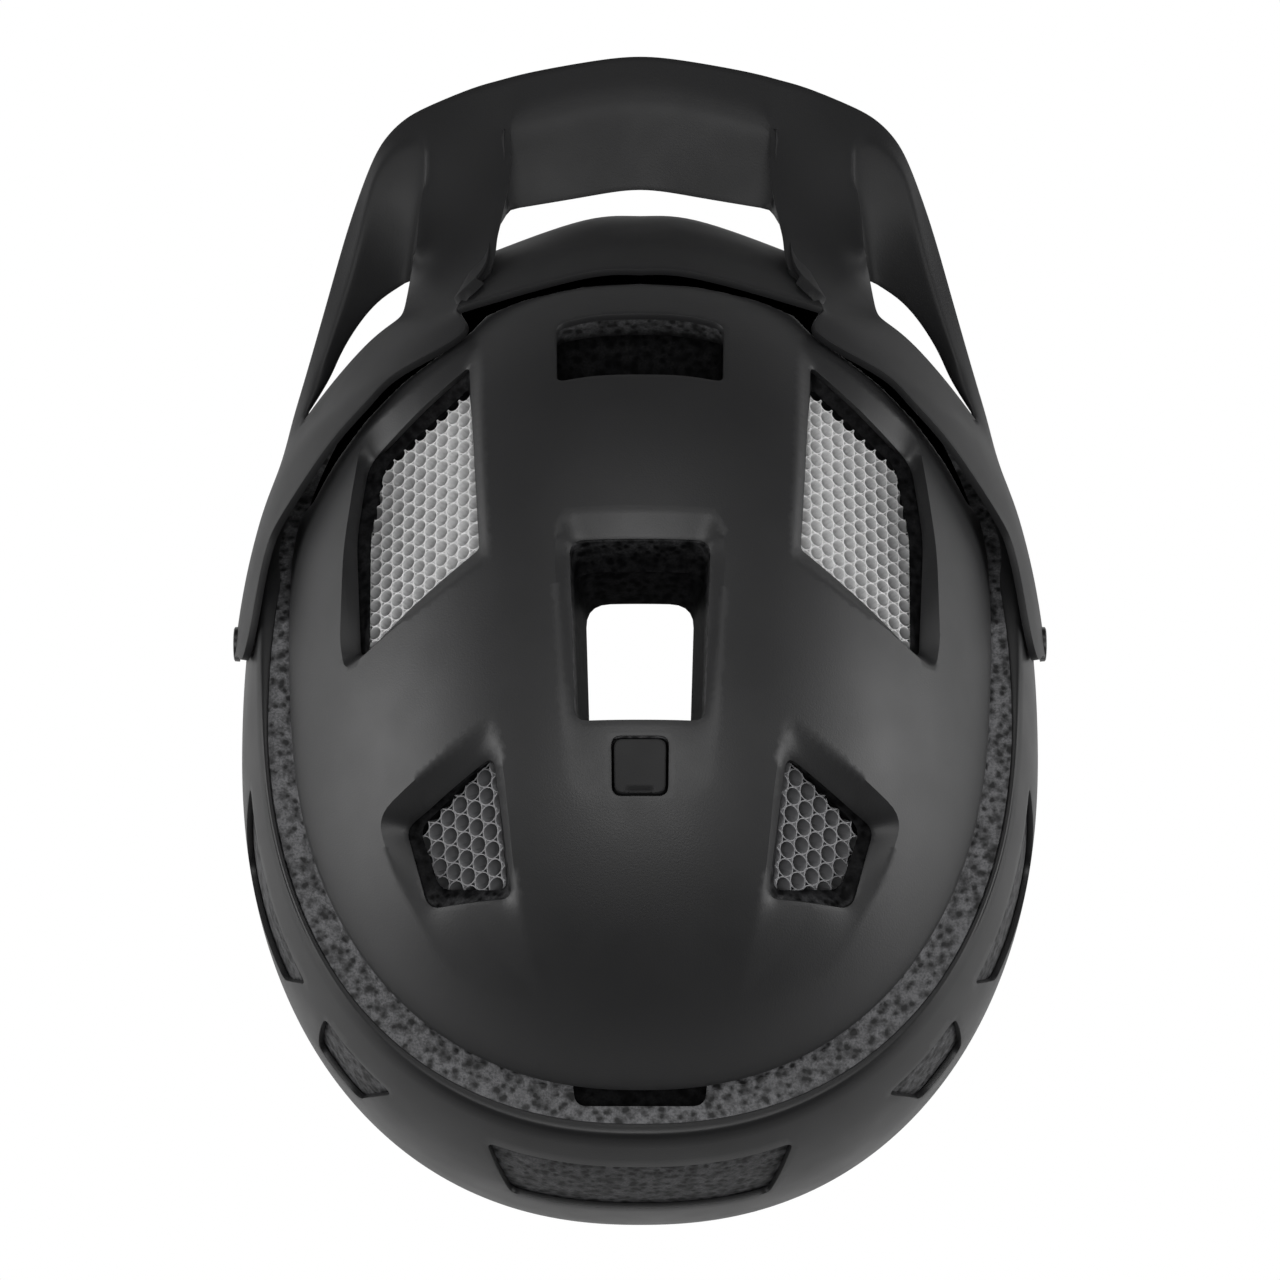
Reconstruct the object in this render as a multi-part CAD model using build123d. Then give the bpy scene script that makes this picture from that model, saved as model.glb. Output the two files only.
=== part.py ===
from build123d import *
from math import cos, hypot, pi, sin
import os

os.makedirs("parts", exist_ok=True)

# A trail cycling helmet. The front faces -Y, +X is the wearer's left and +Z is up.
# The origin is the middle of the head opening at the brow.

# The two domes: half width, front length, rear length, height above and depth below the widest level
CENTRE_Y = 11.0
CENTRE_Z = 12.0
PLAN_POWER = 2.25
LOWER_DOME = (111.0, 148.3, 132.8, 116.0, 160.0)
CROWN_DOME = (103.6, 141.0, 122.5, 116.0, 160.0)
VISOR_DOME = (114.5, 151.5, 136.0, 111.0, 160.0)
CAVITY_DOME = (86.0, 114.0, 99.0, 84.0, 260.0)
HEAD_BAND_DOME = (80.0, 108.0, 93.0, 84.0, 260.0)
SHELL = 1.8
VISOR_WALL = 2.0
PAD = 6.0
PAD_GAP = 0.2

# Where the liner's ring meets its crown, and the slope of the lines between its four segments
SPLIT_Z = 46.0
SPLIT_SLOPE = 1.25

# Side curves as (y, z): the rim of the helmet and the lip of the lower shell
RIM = [(-170, 2), (-120, 0), (-60, -20), (0, -15), (40, -18), (90, -42), (120, -48), (170, -48)]
LIP = [(-170, 12), (-80, 20), (-47, 32), (-18, 47), (6, 53), (60, 57), (170, 57)]
LIP_THICK = 2.5
CROWN_LIFT = 4.0
LEDGE_DROP = 0.6

# Vents, as plan outlines on the wearer's left
FRONT_VENT = [(45.2, -69), (42.5, -57), (41.7, -9.6), (70.9, 10.7), (77, 12.4), (78.7, 6), (75.2, -29), (72.3, -44)]
REAR_VENT = [(42.1, 45.4), (36.8, 48.4), (33, 79.5), (53.4, 80.3), (58.8, 73.3), (61.9, 61.8)]
VENT_ROUND = 2.0
SLOT_X, SLOT_FRONT, SLOT_REAR = 22.0, -83.0, -58.0
CENTRE_TOP = (18.0, -10.0, 39.0)
CENTRE_BOTTOM = (14.5, -2.0, 34.0)
PLUG = 14.2
PLUG_Y = 50.0
PLUG_FLOOR = 108.0
PLUG_GAP = 0.25

# Honeycomb blocks: a point on the top face and the way that face looks
COMB_PITCH = 4.35
COMB_BORE = 3.7
COMB_DEPTH = 15.0
COMB_MARGIN = 3.0
FRONT_COMB = ((60, -28, 88), (0.633, -0.222, 0.741))
REAR_COMB = ((49, 64, 93), (0.514, 0.397, 0.760))

# Visor
PEAK_THICK = 2.2
PEAK_HIGH = 52.0
PEAK_BOW = 0.0022
PEAK_FALL = 0.03
PEAK_EDGE = [(0, -183), (36, -178.5), (58, -170.5), (68.5, -163.5), (72.5, -160.5), (75.5, -154), (80.3, -139)]
PEAK_SIDE = [(88, -110), (95.8, -80), (103, -50), (110.3, -22), (112.2, -6)]
CENTRE_GAP = [(0, -145.5), (20, -145), (34, -141.5), (38, -128), (0, -128)]
SIDE_GAP = [(64.2, -122.8), (73.4, -112.4), (79, -104.9), (83.4, -97.7), (86.7, -90.6), (89, -84),
            (75.7, -95.4), (68.2, -101.1), (64.8, -106)]
BAND_REAR = [(0, -100.7), (32.7, -96.5), (42, -92.5), (43.5, -82.6), (65, -72.5), (76, -62.7), (90, -49.6)]
BAND_TAIL = [(99.4, -38), (104, -27), (108, -8), (116, -6)]
PIVOT_Y, PIVOT_Z = -14.0, 25.0
PIN = 6.0
PIN_GAP = 0.06
PIN_IN = 6.0

# Fit system
RACK_Y = 94.0
DIAL_Z = -67.0
DIAL_R = 13.0
PINION_R = 3.0
RACK_THICK = 1.6
RACK_TALL = 5.0
RACK_GAP = 0.05
RACK_TRAVEL = 8.0
HOUSING = 21.0
ARM_X = 30.0
BAND_THICK = 1.5
ARM_SIDE = [(-30, 3), (-30, -8), (20, -24), (60, -47), (100, -73), (100, -60), (60, -35), (20, -12)]
TEMPLE = (-24.0, -3.0)
SLIDE_GAP = 0.3

# Straps
WEB = 16.0
WEB_THICK = 1.5
ANCHOR_LONG = 20.0
ANCHOR_TALL = 14.0
ANCHORS = (("front", (89, -46, -22)), ("rear", (91, 52, -27)))
DIVIDER = (71.0, 2.0, -98.0)
LATCH = (76.5, -93.0)
LATCH_PIN = 1.0
CHIN = (0.0, -32.0, -180.0)
CHIN_PATH = [(71, 2, -106), (54, -10, -148), (34, -28, -176), (22, -32, -180)]


def ring(dome, inset, z, spread):
    """One level outline of a dome, at height z, as a face."""
    w, front, rear = (size - inset for size in dome[:3])
    points = []
    for i in range(32):
        c = cos(2 * pi * i / 32)
        s = sin(2 * pi * i / 32)
        k = spread * (abs(c) ** PLAN_POWER + abs(s) ** PLAN_POWER) ** (-1 / PLAN_POWER)
        points.append((w * k * c, CENTRE_Y + (rear if s > 0 else front) * k * s, z))
    return Face(Wire([Spline(*points, periodic=True)]))


def seam(size, inset):
    """The plan outline along which the visor's peak meets a dome, as a face."""
    w, front, rear = (part - inset for part in size[:3])
    points = []
    for i in range(48):
        c = cos(2 * pi * i / 48)
        s = sin(2 * pi * i / 48)
        k = (abs(c) ** PLAN_POWER + abs(s) ** PLAN_POWER) ** (-1 / PLAN_POWER)
        spread = 0.97
        for _ in range(6):
            x = w * k * spread * c
            y = CENTRE_Y + (rear if s > 0 else front) * k * spread * s
            z = PEAK_HIGH - PEAK_BOW * x ** 2 - PEAK_FALL * (y + 190) - PEAK_THICK / 2
            spread = (1 - ((z - CENTRE_Z) / size[3]) ** 2) ** 0.5
        points.append((x, y, -40))
    return Face(Wire([Spline(*points, periodic=True)]))


def dome(size, inset=0.0, floor=-70.0):
    """A solid dome down to a level floor; its tip lies inside the centre vent."""
    top = size[3] - inset
    down = size[4] - inset
    bottom = (floor - CENTRE_Z) / down
    steps = [(bottom, (1 - bottom ** 2) ** 0.5), (bottom / 2, (1 - bottom ** 2 / 4) ** 0.5)]
    levels = [ring(size, inset, CENTRE_Z + down * h, k) for h, k in steps]
    for degrees in (90, 76, 62, 49, 37, 26, 16, 8):
        a = degrees * pi / 180
        levels.append(ring(size, inset, CENTRE_Z + top * cos(a), sin(a)))
    return loft(levels)


def under(curve, lift=0.0):
    """Everything under a side curve, lifted by lift."""
    line = Spline(*[(y, z + lift) for y, z in curve])
    side = Polyline((170, curve[-1][1] + lift), (170, -260), (-170, -260), (-170, curve[0][1] + lift))
    return extrude(make_face(Plane.YZ * Wire([line, *side.edges()])), 130, both=True)


def plan(points, low, high, grow=0.0, soft=0.0):
    """A vertical prism of a plan outline."""
    face = make_face(Polyline(*points, close=True))
    if grow:
        face = offset(face, grow, kind=Kind.INTERSECTION)
    if soft:
        face = fillet(face.vertices(), soft)
    return extrude(Pos(0, 0, low) * face, high - low)


def box(x, y, z):
    """A box from three (low, high) ranges."""
    size = [b - a for a, b in (x, y, z)]
    return Pos(x[0], y[0], z[0]) * Box(*size, align=(Align.MIN, Align.MIN, Align.MIN))


def left_right(shape):
    return [shape, mirror(shape, Plane.YZ)]


def save(shape, name):
    export_step(shape, f"parts/{name}.step")


def save_pair(shape, name):
    for side, part in zip(("left", "right"), left_right(shape)):
        save(part, f"{name}_{side}")


# The bodies of both domes
lower_out = dome(LOWER_DOME)
lower_in = dome(LOWER_DOME, SHELL)
crown_out = dome(CROWN_DOME)
crown_in = dome(CROWN_DOME, SHELL)
cavity = dome(CAVITY_DOME, 0, -75)
rim = under(RIM)

# Vent wells
front_well = plan(FRONT_VENT, 40, 140, soft=VENT_ROUND)
rear_well = plan(REAR_VENT, 40, 140, soft=VENT_ROUND)
top = Pos(0, (CENTRE_TOP[1] + CENTRE_TOP[2]) / 2, 132) * RectangleRounded(
    2 * CENTRE_TOP[0], CENTRE_TOP[2] - CENTRE_TOP[1], 4)
bottom = Pos(0, (CENTRE_BOTTOM[1] + CENTRE_BOTTOM[2]) / 2, 80) * RectangleRounded(
    2 * CENTRE_BOTTOM[0], CENTRE_BOTTOM[2] - CENTRE_BOTTOM[1], 4)
centre_well = loft([top.face(), bottom.face()])
slot_face = Pos(0, (SLOT_FRONT + SLOT_REAR) / 2, 120) * RectangleRounded(2 * SLOT_X, SLOT_REAR - SLOT_FRONT, 4)
slot_top = extrude(Pos(0, 0, -22) * slot_face, 30)
slot_duct = extrude(Pos(0, 0, -22) * slot_face, 50, dir=(0, 0.55, -0.83))
plug_hole = Pos(0, PLUG_Y, PLUG_FLOOR) * extrude(RectangleRounded(PLUG + 2 * PLUG_GAP, PLUG + 2 * PLUG_GAP, 3), 20)
wells = [centre_well, slot_top, *left_right(front_well), *left_right(rear_well)]

# Crown shell
crown = (crown_out - crown_in) - under(LIP, CROWN_LIFT)
for well in [*wells, plug_hole]:
    crown = crown - well
save(crown, "crown_shell")

# Lower shell, with its rolled lip, windows and visor sockets
wall = lower_out - lower_in
lip_line = ring((101.2, 139.0, 118.7, 1, 1), 0, -80, 1)
lip = (lower_in - extrude(lip_line, 200)) - dome(CROWN_DOME, -0.6)
lip = lip - under(LIP, -LIP_THICK)
lower = (wall + lip) & under(LIP)
lower = lower - rim
side_window = extrude(Plane.YZ * make_face(Polyline((32, 43), (88, 44), (82, 24), (48, 15), close=True)), 130)
corner_window = extrude(Plane.YZ * make_face(Polyline((97, 43), (118, 42), (114, 18), (100, 20), close=True)), 130)
rear_window = extrude(Plane.XZ * make_face(Polyline((-41, 45), (41, 45), (35, 15), (-35, 15), close=True)), -170)
for window in [*left_right(side_window), *left_right(corner_window), rear_window & box((-60, 60), (100, 170), (0, 60))]:
    lower = lower - window
pin_axis = Plane(origin=(0, PIVOT_Y, PIVOT_Z), z_dir=(1, 0, 0))
pin_bore = extrude(pin_axis * Circle(PIN / 2 + PIN_GAP), 113) & box((103, 120), (-40, 20), (0, 50))
pin_bores = left_right(pin_bore)
for bore in pin_bores:
    lower = lower - bore
save(lower, "lower_shell")

# Honeycomb blocks
comb_pockets = []
for name, outline, (spot, way) in (("front", FRONT_VENT, FRONT_COMB), ("rear", REAR_VENT, REAR_COMB)):
    face = offset(make_face(Polyline(*outline, close=True)), COMB_MARGIN, kind=Kind.INTERSECTION)
    slab = extrude(Plane(origin=spot, z_dir=way) * Rectangle(240, 240), -COMB_DEPTH)
    block = slab & extrude(Pos(0, 0, 20) * face, 120)
    comb_pockets.append(block)
    area = face.bounding_box()
    room = offset(face, -(COMB_BORE / 2 + 0.4))
    holes = []
    column_step = COMB_PITCH * 3 ** 0.5 / 2
    for column in range(int(area.size.X / column_step) + 1):
        for row in range(int(area.size.Y / COMB_PITCH) + 1):
            x = area.min.X + column * column_step
            y = area.min.Y + (row + column % 2 / 2) * COMB_PITCH
            if room.face().is_inside((x, y, 0)):
                holes.append(Pos(x, y, 20) * Circle(COMB_BORE / 2).face())
    bores = Compound([extrude(hole, 120) for hole in holes])
    save_pair(block - bores, f"honeycomb_{name}")

# Foam liner, with a pocket in the ledge under the crown shell's rear edge
notch = box((-18, 18), (108, 124.5), (44, 58.5))
foam = (lower_in & under(LIP, -LEDGE_DROP)) + crown_in
foam = foam - lower
foam = foam - rim
foam = foam - cavity
for well in [*wells, slot_duct, plug_hole, notch]:
    foam = foam - well
for pocket in comb_pockets:
    for part in left_right(pocket):
        foam = foam - part
for bore in pin_bores:
    foam = foam - bore

# Camera mount plug, with a finger notch at its rear edge
plug = Pos(0, PLUG_Y, PLUG_FLOOR) * extrude(RectangleRounded(PLUG, PLUG, 3), 20)
plug = plug & dome(CROWN_DOME, 0.3)
nick = Pos(0, PLUG_Y + PLUG / 2, 119.5) * Box(6, 3, 6)
save(plug - nick, "camera_mount_plug")

# Pads on the inside of the liner
pad_layer = dome(CAVITY_DOME, PAD_GAP, -75) - dome(CAVITY_DOME, PAD, -75)
save(pad_layer & box((-58, 58), (-110, -62), (4, 24)), "brow_pad")
save(pad_layer & box((-11, 11), (54, 84), (40, 100)), "crown_pad_rear")
save_pair(pad_layer & box((22, 38), (-34, 36), (60, 100)), "crown_pad")
save_pair(pad_layer & box((60, 90), (-14, 44), (8, 24)), "side_pad")

# Temple anchors for the headband arms
arm_out = dome(HEAD_BAND_DOME, 0, -85)
arm_gap = dome(HEAD_BAND_DOME, -RACK_GAP, -85)
temple = Plane(origin=(60, *TEMPLE), z_dir=(1, 0, 0))
temple_anchor = extrude(temple * Circle(5), 30) - arm_gap
save_pair(temple_anchor, "temple_anchor")
for part in left_right(temple_anchor):
    foam = foam - part

# Height guide at the back of the liner
stem_y = (RACK_Y + 1.6, RACK_Y + 4)
guide = box((-12, 12), (RACK_Y + 0.4, 112), (-10, 22))
channel = box((-8 - SLIDE_GAP, 8 + SLIDE_GAP), (stem_y[0] - SLIDE_GAP, stem_y[1] + SLIDE_GAP), (-20, 30))
guide = guide - channel
foam = foam - guide
save(guide, "fit_guide")

# Strap anchors
for name, (x, y, z) in ANCHORS:
    anchor = Pos(x, y, z) * Box(14, ANCHOR_LONG, ANCHOR_TALL, align=(Align.CENTER, Align.CENTER, Align.MIN))
    save_pair(anchor, f"strap_anchor_{name}")
    for part in left_right(anchor):
        foam = foam - part
        lower = lower - part

# The liner is moulded in a ring and a crown, each of four segments
far = 240
upper_room = box((-far, far), (-far, far), (SPLIT_Z, far))
for name, turn in (("rear", 90), ("left", 0), ("front", 270), ("right", 180)):
    wedge = Polyline((0, 0), (far, far * SPLIT_SLOPE), (far, -far * SPLIT_SLOPE), close=True)
    if turn % 180:
        wedge = Polyline((0, 0), (far, far / SPLIT_SLOPE), (far, -far / SPLIT_SLOPE), close=True)
    sector = Pos(0, CENTRE_Y, -80) * Rot(0, 0, turn) * extrude(make_face(wedge), 260)
    segment = foam & sector
    save(segment & upper_room, f"foam_crown_{name}")
    save(segment - upper_room, f"foam_ring_{name}")

# Visor: a curved peak joined to a band that follows the shell back to the pivots
arc = [(x, PEAK_HIGH - PEAK_BOW * x ** 2) for x in (-125, -80, -40, 0, 40, 80, 125)]
upper = Spline(*arc)
low_arc = Spline(*[(x, z - PEAK_THICK) for x, z in reversed(arc)])
ends = [Line(upper @ 1, low_arc @ 0), Line(low_arc @ 1, upper @ 0)]
sheet_face = Pos(0, -190, 0) * (Plane.XZ * make_face(Wire([upper, low_arc, *ends])))
sheet = extrude(sheet_face, 200, dir=(0, 1, -PEAK_FALL))
half = [*PEAK_EDGE[1:], *PEAK_SIDE]
rim_points = [(-x, y) for x, y in reversed(half)] + [PEAK_EDGE[0]] + half
peak_line = Spline(*rim_points)
back = Line(rim_points[-1], rim_points[0])
peak = sheet & extrude(Pos(0, 0, -20) * make_face(Wire([peak_line, back])), 120)
visor_in = dome(VISOR_DOME, VISOR_WALL)
visor_out = dome(VISOR_DOME)
band_plan = [*BAND_REAR, *BAND_TAIL, (120, -200), (0, -200)]
band_area = [*band_plan, *[(-x, y) for x, y in reversed(band_plan[1:-1])]]
band = (visor_out - visor_in) & plan(band_area, 0, 120)
band = band - under([(-170, 38), (-130, 38), (-60, 26), (0, 19), (170, 19)])
peak = peak - extrude(seam(VISOR_DOME, 0.8), 200)
for part in left_right(plan(CENTRE_GAP, -20, 110)):
    peak = peak - part
visor = peak + band
for part in left_right(plan(SIDE_GAP, -20, 110)):
    visor = visor - part
visor = max(visor.solids(), key=lambda part: part.volume)
pin_shaft = extrude(pin_axis.offset(105) * Circle(PIN / 2), 7.6)
pin_head = extrude(pin_axis.offset(110) * Circle(5), 3.5) - visor_out
visor = visor - pin_shaft - mirror(pin_shaft, Plane.YZ)
save(visor, "visor")
for side, pin in zip(("left", "right"), left_right(pin_shaft + pin_head)):
    save(max((pin - visor).solids(), key=lambda part: part.volume), f"visor_pin_{side}")

# Fit system at the nape: housing, cover, stem, dial, racks and headband arms
housing_y = (RACK_Y - 4, RACK_Y + 4)
tall = RACK_TALL + PINION_R
housing = box((-HOUSING, HOUSING), housing_y, (DIAL_Z - 13, DIAL_Z + 21))
housing = fillet(housing.edges().filter_by(Axis.Y), 6)
rack_room = RACK_THICK / 2 + SLIDE_GAP
slot_z = (DIAL_Z - tall - SLIDE_GAP, DIAL_Z + tall + SLIDE_GAP)
housing = housing - box((-40, 40), (RACK_Y - rack_room, RACK_Y + rack_room), slot_z)
shaft_plane = Plane(origin=(0, RACK_Y - 1.6, DIAL_Z), z_dir=(0, 1, 0))
shaft_hole = extrude(shaft_plane * Circle(PINION_R + RACK_GAP), 20)
save(housing - shaft_hole, "fit_housing")
cover = box((-HOUSING, HOUSING), (housing_y[1], housing_y[1] + 3), (DIAL_Z - 13, DIAL_Z + 21))
cover = fillet(cover.edges().filter_by(Axis.Y), 6) - shaft_hole
save(cover, "fit_cover")
save(box((-8, 8), stem_y, (DIAL_Z + 21, 10)), "fit_stem")
save(box((-17, 17), (housing_y[0] - 4, housing_y[0]), (DIAL_Z - 11, DIAL_Z + 19)), "nape_pad")
knob_plane = Plane(origin=(0, housing_y[1] + 3.3, DIAL_Z), z_dir=(0, 1, 0))
knob_face = Circle(DIAL_R).face()
for i in range(18):
    knob_face = knob_face - Pos(DIAL_R * cos(i * pi / 9), DIAL_R * sin(i * pi / 9), 0) * Circle(1)
knob = extrude(knob_plane * knob_face, 9)
save(knob + extrude(shaft_plane * Circle(PINION_R), 10), "fit_dial")
arm_side = extrude(Plane.YZ * make_face(Polyline(*ARM_SIDE, close=True)), 100)
arms = (arm_out - dome(HEAD_BAND_DOME, BAND_THICK, -85)) & arm_side
arm = arms & box((ARM_X, 100), (-60, 120), (-90, 20))
save_pair(arm, "headband")
rack_y = (RACK_Y - RACK_THICK / 2, RACK_Y + RACK_THICK / 2)
inner = PINION_R + RACK_GAP
save(box((-9, ARM_X), rack_y, (DIAL_Z + inner, DIAL_Z + inner + RACK_TALL)), "rack_left")
save(box((-ARM_X, 9), rack_y, (DIAL_Z - inner - RACK_TALL, DIAL_Z - inner)), "rack_right")


def webbing(points):
    """A flat strap through points, its width near the Y direction."""
    path = [Vector(*p) for p in points]
    sections = []
    for i, point in enumerate(path):
        way = path[min(i + 1, len(path) - 1)] - path[max(i - 1, 0)]
        sections.append(Plane(origin=point, x_dir=(0, 1, 0), z_dir=way) * Rectangle(WEB, WEB_THICK).face())
    return loft(sections, ruled=True)


# Strap dividers with their latches, and the webbing
x, y, z = DIVIDER
divider = box((x - 3.5, x + 3.5), (y - 16, y + 16), (z - 10, z + 10))
divider = fillet(divider.edges().filter_by(Axis.X), 4)
for low in (y - 16, y + 13.2):
    divider = divider + box((x + 3.5, LATCH[0] + 2), (low, low + 2.8), (LATCH[1] - 2.5, LATCH[1] + 2.5))
latch_axis = Plane(origin=(LATCH[0], y - 15.5, LATCH[1]), z_dir=(0, 1, 0))
divider = divider - extrude(latch_axis * Circle(LATCH_PIN + RACK_GAP), 31)
save_pair(divider, "strap_divider")
latch = extrude(latch_axis * Circle(LATCH_PIN), 31)
latch = latch + extrude(latch_axis.offset(2.8 + SLIDE_GAP - 0.1) * Circle(1.8), 31 - 2 * (2.7 + SLIDE_GAP - 0.1))
latch = latch + box((LATCH[0] - 1.2, LATCH[0] + 0.6), (y - 12, y + 12), (z - 8.5, LATCH[1]))
save_pair(latch, "divider_latch")
for (name, start), end in zip(ANCHORS, ((x, y - 7, z + 6), (x, y + 7, z + 6))):
    strap = webbing([(start[0], start[1], start[2] + 1.5), end])
    strap = strap - divider
    strap = strap - Pos(*start) * Box(14, ANCHOR_LONG, ANCHOR_TALL, align=(Align.CENTER, Align.CENTER, Align.MIN))
    save_pair(strap, f"strap_{name}")
chin = max((webbing(CHIN_PATH) - divider).solids(), key=lambda part: part.volume)

# Side-release buckle under the chin
cx, cy, cz = CHIN
socket = box((2, 27), (cy - 11, cy + 11), (cz - 4.5, cz + 4.5))
socket = fillet(socket.edges().filter_by(Axis.X), 2)
socket = socket - box((0, 20), (cy - 8, cy + 8), (cz - 2.5, cz + 2.5))
socket = socket - box((7, 15), (cy - 12, cy + 12), (cz - 1.5, cz + 1.5))
save(socket, "buckle_socket")
tongue = box((-20, 1.7), (cy - 10, cy + 10), (cz - 3.5, cz + 3.5))
tongue = fillet(tongue.edges().filter_by(Axis.X), 2)
for low in (cy - 7.7, cy - 1, cy + 5.2):
    tongue = tongue + box((1.7, 18), (low, low + 2.5), (cz - 2.2, cz + 2.2))
save(tongue, "buckle_tongue")
save(max((chin - socket).solids(), key=lambda part: part.volume), "chin_strap_left")
other = mirror(webbing([*CHIN_PATH[:-1], (16, -32, -180)]), Plane.YZ)
save(other - mirror(divider, Plane.YZ) - tongue, "chin_strap_right")

# Keeper ring that slides on the chin strap
a, b = Vector(*CHIN_PATH[1]), Vector(*CHIN_PATH[2])
keeper_plane = Plane(origin=a + (b - a) * 0.35, x_dir=(0, 1, 0), z_dir=b - a)
keeper = extrude(keeper_plane * RectangleRounded(WEB + 4.5, WEB_THICK + 4.5, 2), 7)
keeper = keeper - extrude(keeper_plane * Rectangle(WEB + 1.5, WEB_THICK + 1.5), 7)
save(keeper, "strap_keeper")
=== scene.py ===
# %% [markdown]
# # A trail cycling helmet
# The CAD model holds every solid of the helmet in place. This lesson dresses it: it loads the model as a
# fixed frame, remakes the moulded shells, foam, tube blocks, visor and soft parts as fine surfaces, and gives
# each one its real finish. All sizes are in millimetres until a mesh is made, and then in metres.

# %% Load the frame
import math

import bmesh
import bpy
import numpy as np
from mathutils.geometry import delaunay_2d_cdt
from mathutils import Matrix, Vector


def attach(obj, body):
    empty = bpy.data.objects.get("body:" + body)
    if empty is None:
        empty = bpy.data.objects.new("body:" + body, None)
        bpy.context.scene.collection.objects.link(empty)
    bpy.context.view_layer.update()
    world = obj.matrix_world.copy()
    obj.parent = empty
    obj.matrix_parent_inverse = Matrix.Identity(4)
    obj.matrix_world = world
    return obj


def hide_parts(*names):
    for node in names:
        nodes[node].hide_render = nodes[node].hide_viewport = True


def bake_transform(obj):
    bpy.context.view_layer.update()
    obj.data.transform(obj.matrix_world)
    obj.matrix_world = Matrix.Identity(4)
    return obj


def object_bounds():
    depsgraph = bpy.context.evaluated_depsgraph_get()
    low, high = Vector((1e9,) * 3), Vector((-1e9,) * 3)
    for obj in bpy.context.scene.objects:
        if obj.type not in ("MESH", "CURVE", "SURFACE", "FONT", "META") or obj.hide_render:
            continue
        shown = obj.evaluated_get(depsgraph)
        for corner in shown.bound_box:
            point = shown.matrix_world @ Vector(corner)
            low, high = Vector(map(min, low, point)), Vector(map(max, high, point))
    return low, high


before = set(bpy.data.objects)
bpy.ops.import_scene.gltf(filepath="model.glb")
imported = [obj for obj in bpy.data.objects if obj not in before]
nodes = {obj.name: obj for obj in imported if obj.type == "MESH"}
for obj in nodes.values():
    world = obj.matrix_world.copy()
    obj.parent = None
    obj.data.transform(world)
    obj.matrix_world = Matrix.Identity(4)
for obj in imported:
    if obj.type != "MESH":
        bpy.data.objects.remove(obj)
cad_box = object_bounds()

print(len(nodes), "CAD nodes loaded")

# %% [markdown]
# ## Colour and node helpers
# A paint or plastic is picked as an sRGB hex value, as on a colour card, but Blender's shaders count in
# linear light. One function turns the first into the second. Another adds a node, sets it and links it.

# %% Colour and node helpers
def linear(code):
    """A hex colour in linear light: c/12.92 in the darkest part, ((c + 0.055)/1.055)^2.4 above it."""
    part = [int(code[i:i + 2], 16) / 255 for i in (1, 3, 5)]
    return (*[c / 12.92 if c <= 0.04045 else ((c + 0.055) / 1.055) ** 2.4 for c in part], 1.0)


def add(tree, kind, inputs=(), **settings):
    """Adds one node, with its settings, and its inputs as values or as the sockets they are linked to."""
    node = tree.nodes.new(kind)
    for key, value in settings.items():
        setattr(node, key, value)
    for key, value in dict(inputs).items():
        if isinstance(value, bpy.types.NodeSocket):
            tree.links.new(value, node.inputs[key])
        else:
            node.inputs[key].default_value = value
    return node


def new_material(name, **shader):
    """A material with one Principled shader, whose plain values are set on its own sockets."""
    material = bpy.data.materials.new(name)
    material.use_nodes = True
    tree = material.node_tree
    tree.nodes.clear()
    surface = add(tree, "ShaderNodeBsdfPrincipled", shader)
    add(tree, "ShaderNodeOutputMaterial", {"Surface": surface.outputs[0]})
    return material, tree, surface


# %% [markdown]
# ## Mesh helpers
# Every new piece is a set of points and faces worked out as numpy arrays. One function puts them into a mesh.
# A shell with holes is easiest to make flat: its outline, its holes and its creases are drawn in the plane,
# a constrained Delaunay triangulation fills between them, and a formula lifts the flat net onto the shape.
# Cutting the holes afterwards with booleans would leave ragged shading along every edge.

# %% Mesh helpers
def put(name, points, faces, material, body, replaces=(), angle=35, weld=False, outward=False):
    """Puts points, in mm, and blocks of faces into a mesh, smooth except at edges sharper than angle. A
    closed piece can have its points welded and its faces turned outwards."""
    blocks = [np.asarray(block, int) for block in faces if len(block)]
    corners = np.concatenate([block.ravel() for block in blocks])
    sides = np.concatenate([np.full(len(block), block.shape[1]) for block in blocks])
    mesh = bpy.data.meshes.new(name)
    mesh.vertices.add(len(points))
    mesh.vertices.foreach_set("co", (np.asarray(points, float) / 1000).ravel())
    mesh.loops.add(len(corners))
    mesh.loops.foreach_set("vertex_index", corners)
    mesh.polygons.add(len(sides))
    mesh.polygons.foreach_set("loop_start", np.concatenate([[0], np.cumsum(sides)[:-1]]))
    mesh.update(calc_edges=True)
    mesh.validate()
    if weld or outward:
        work = bmesh.new()
        work.from_mesh(mesh)
        if weld:
            bmesh.ops.remove_doubles(work, verts=work.verts, dist=2e-5)
        if outward:
            bmesh.ops.recalc_face_normals(work, faces=work.faces)
        work.to_mesh(mesh)
        work.free()
    mesh.shade_smooth()
    mesh.set_sharp_from_angle(angle=math.radians(angle))
    piece = bpy.data.objects.new(name, mesh)
    bpy.context.scene.collection.objects.link(piece)
    mesh.materials.append(material)
    if body:
        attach(piece, body)
    if replaces:
        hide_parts(*replaces)
    print(f"{name}: {len(mesh.polygons)} faces")
    return piece


def strip(a, b, closed=True):
    """Quads between two rows of point numbers of the same length."""
    a, b = np.asarray(a), np.asarray(b)
    if closed:
        a, b = np.append(a, a[0]), np.append(b, b[0])
    return np.stack([a[:-1], a[1:], b[1:], b[:-1]], 1)


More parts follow.
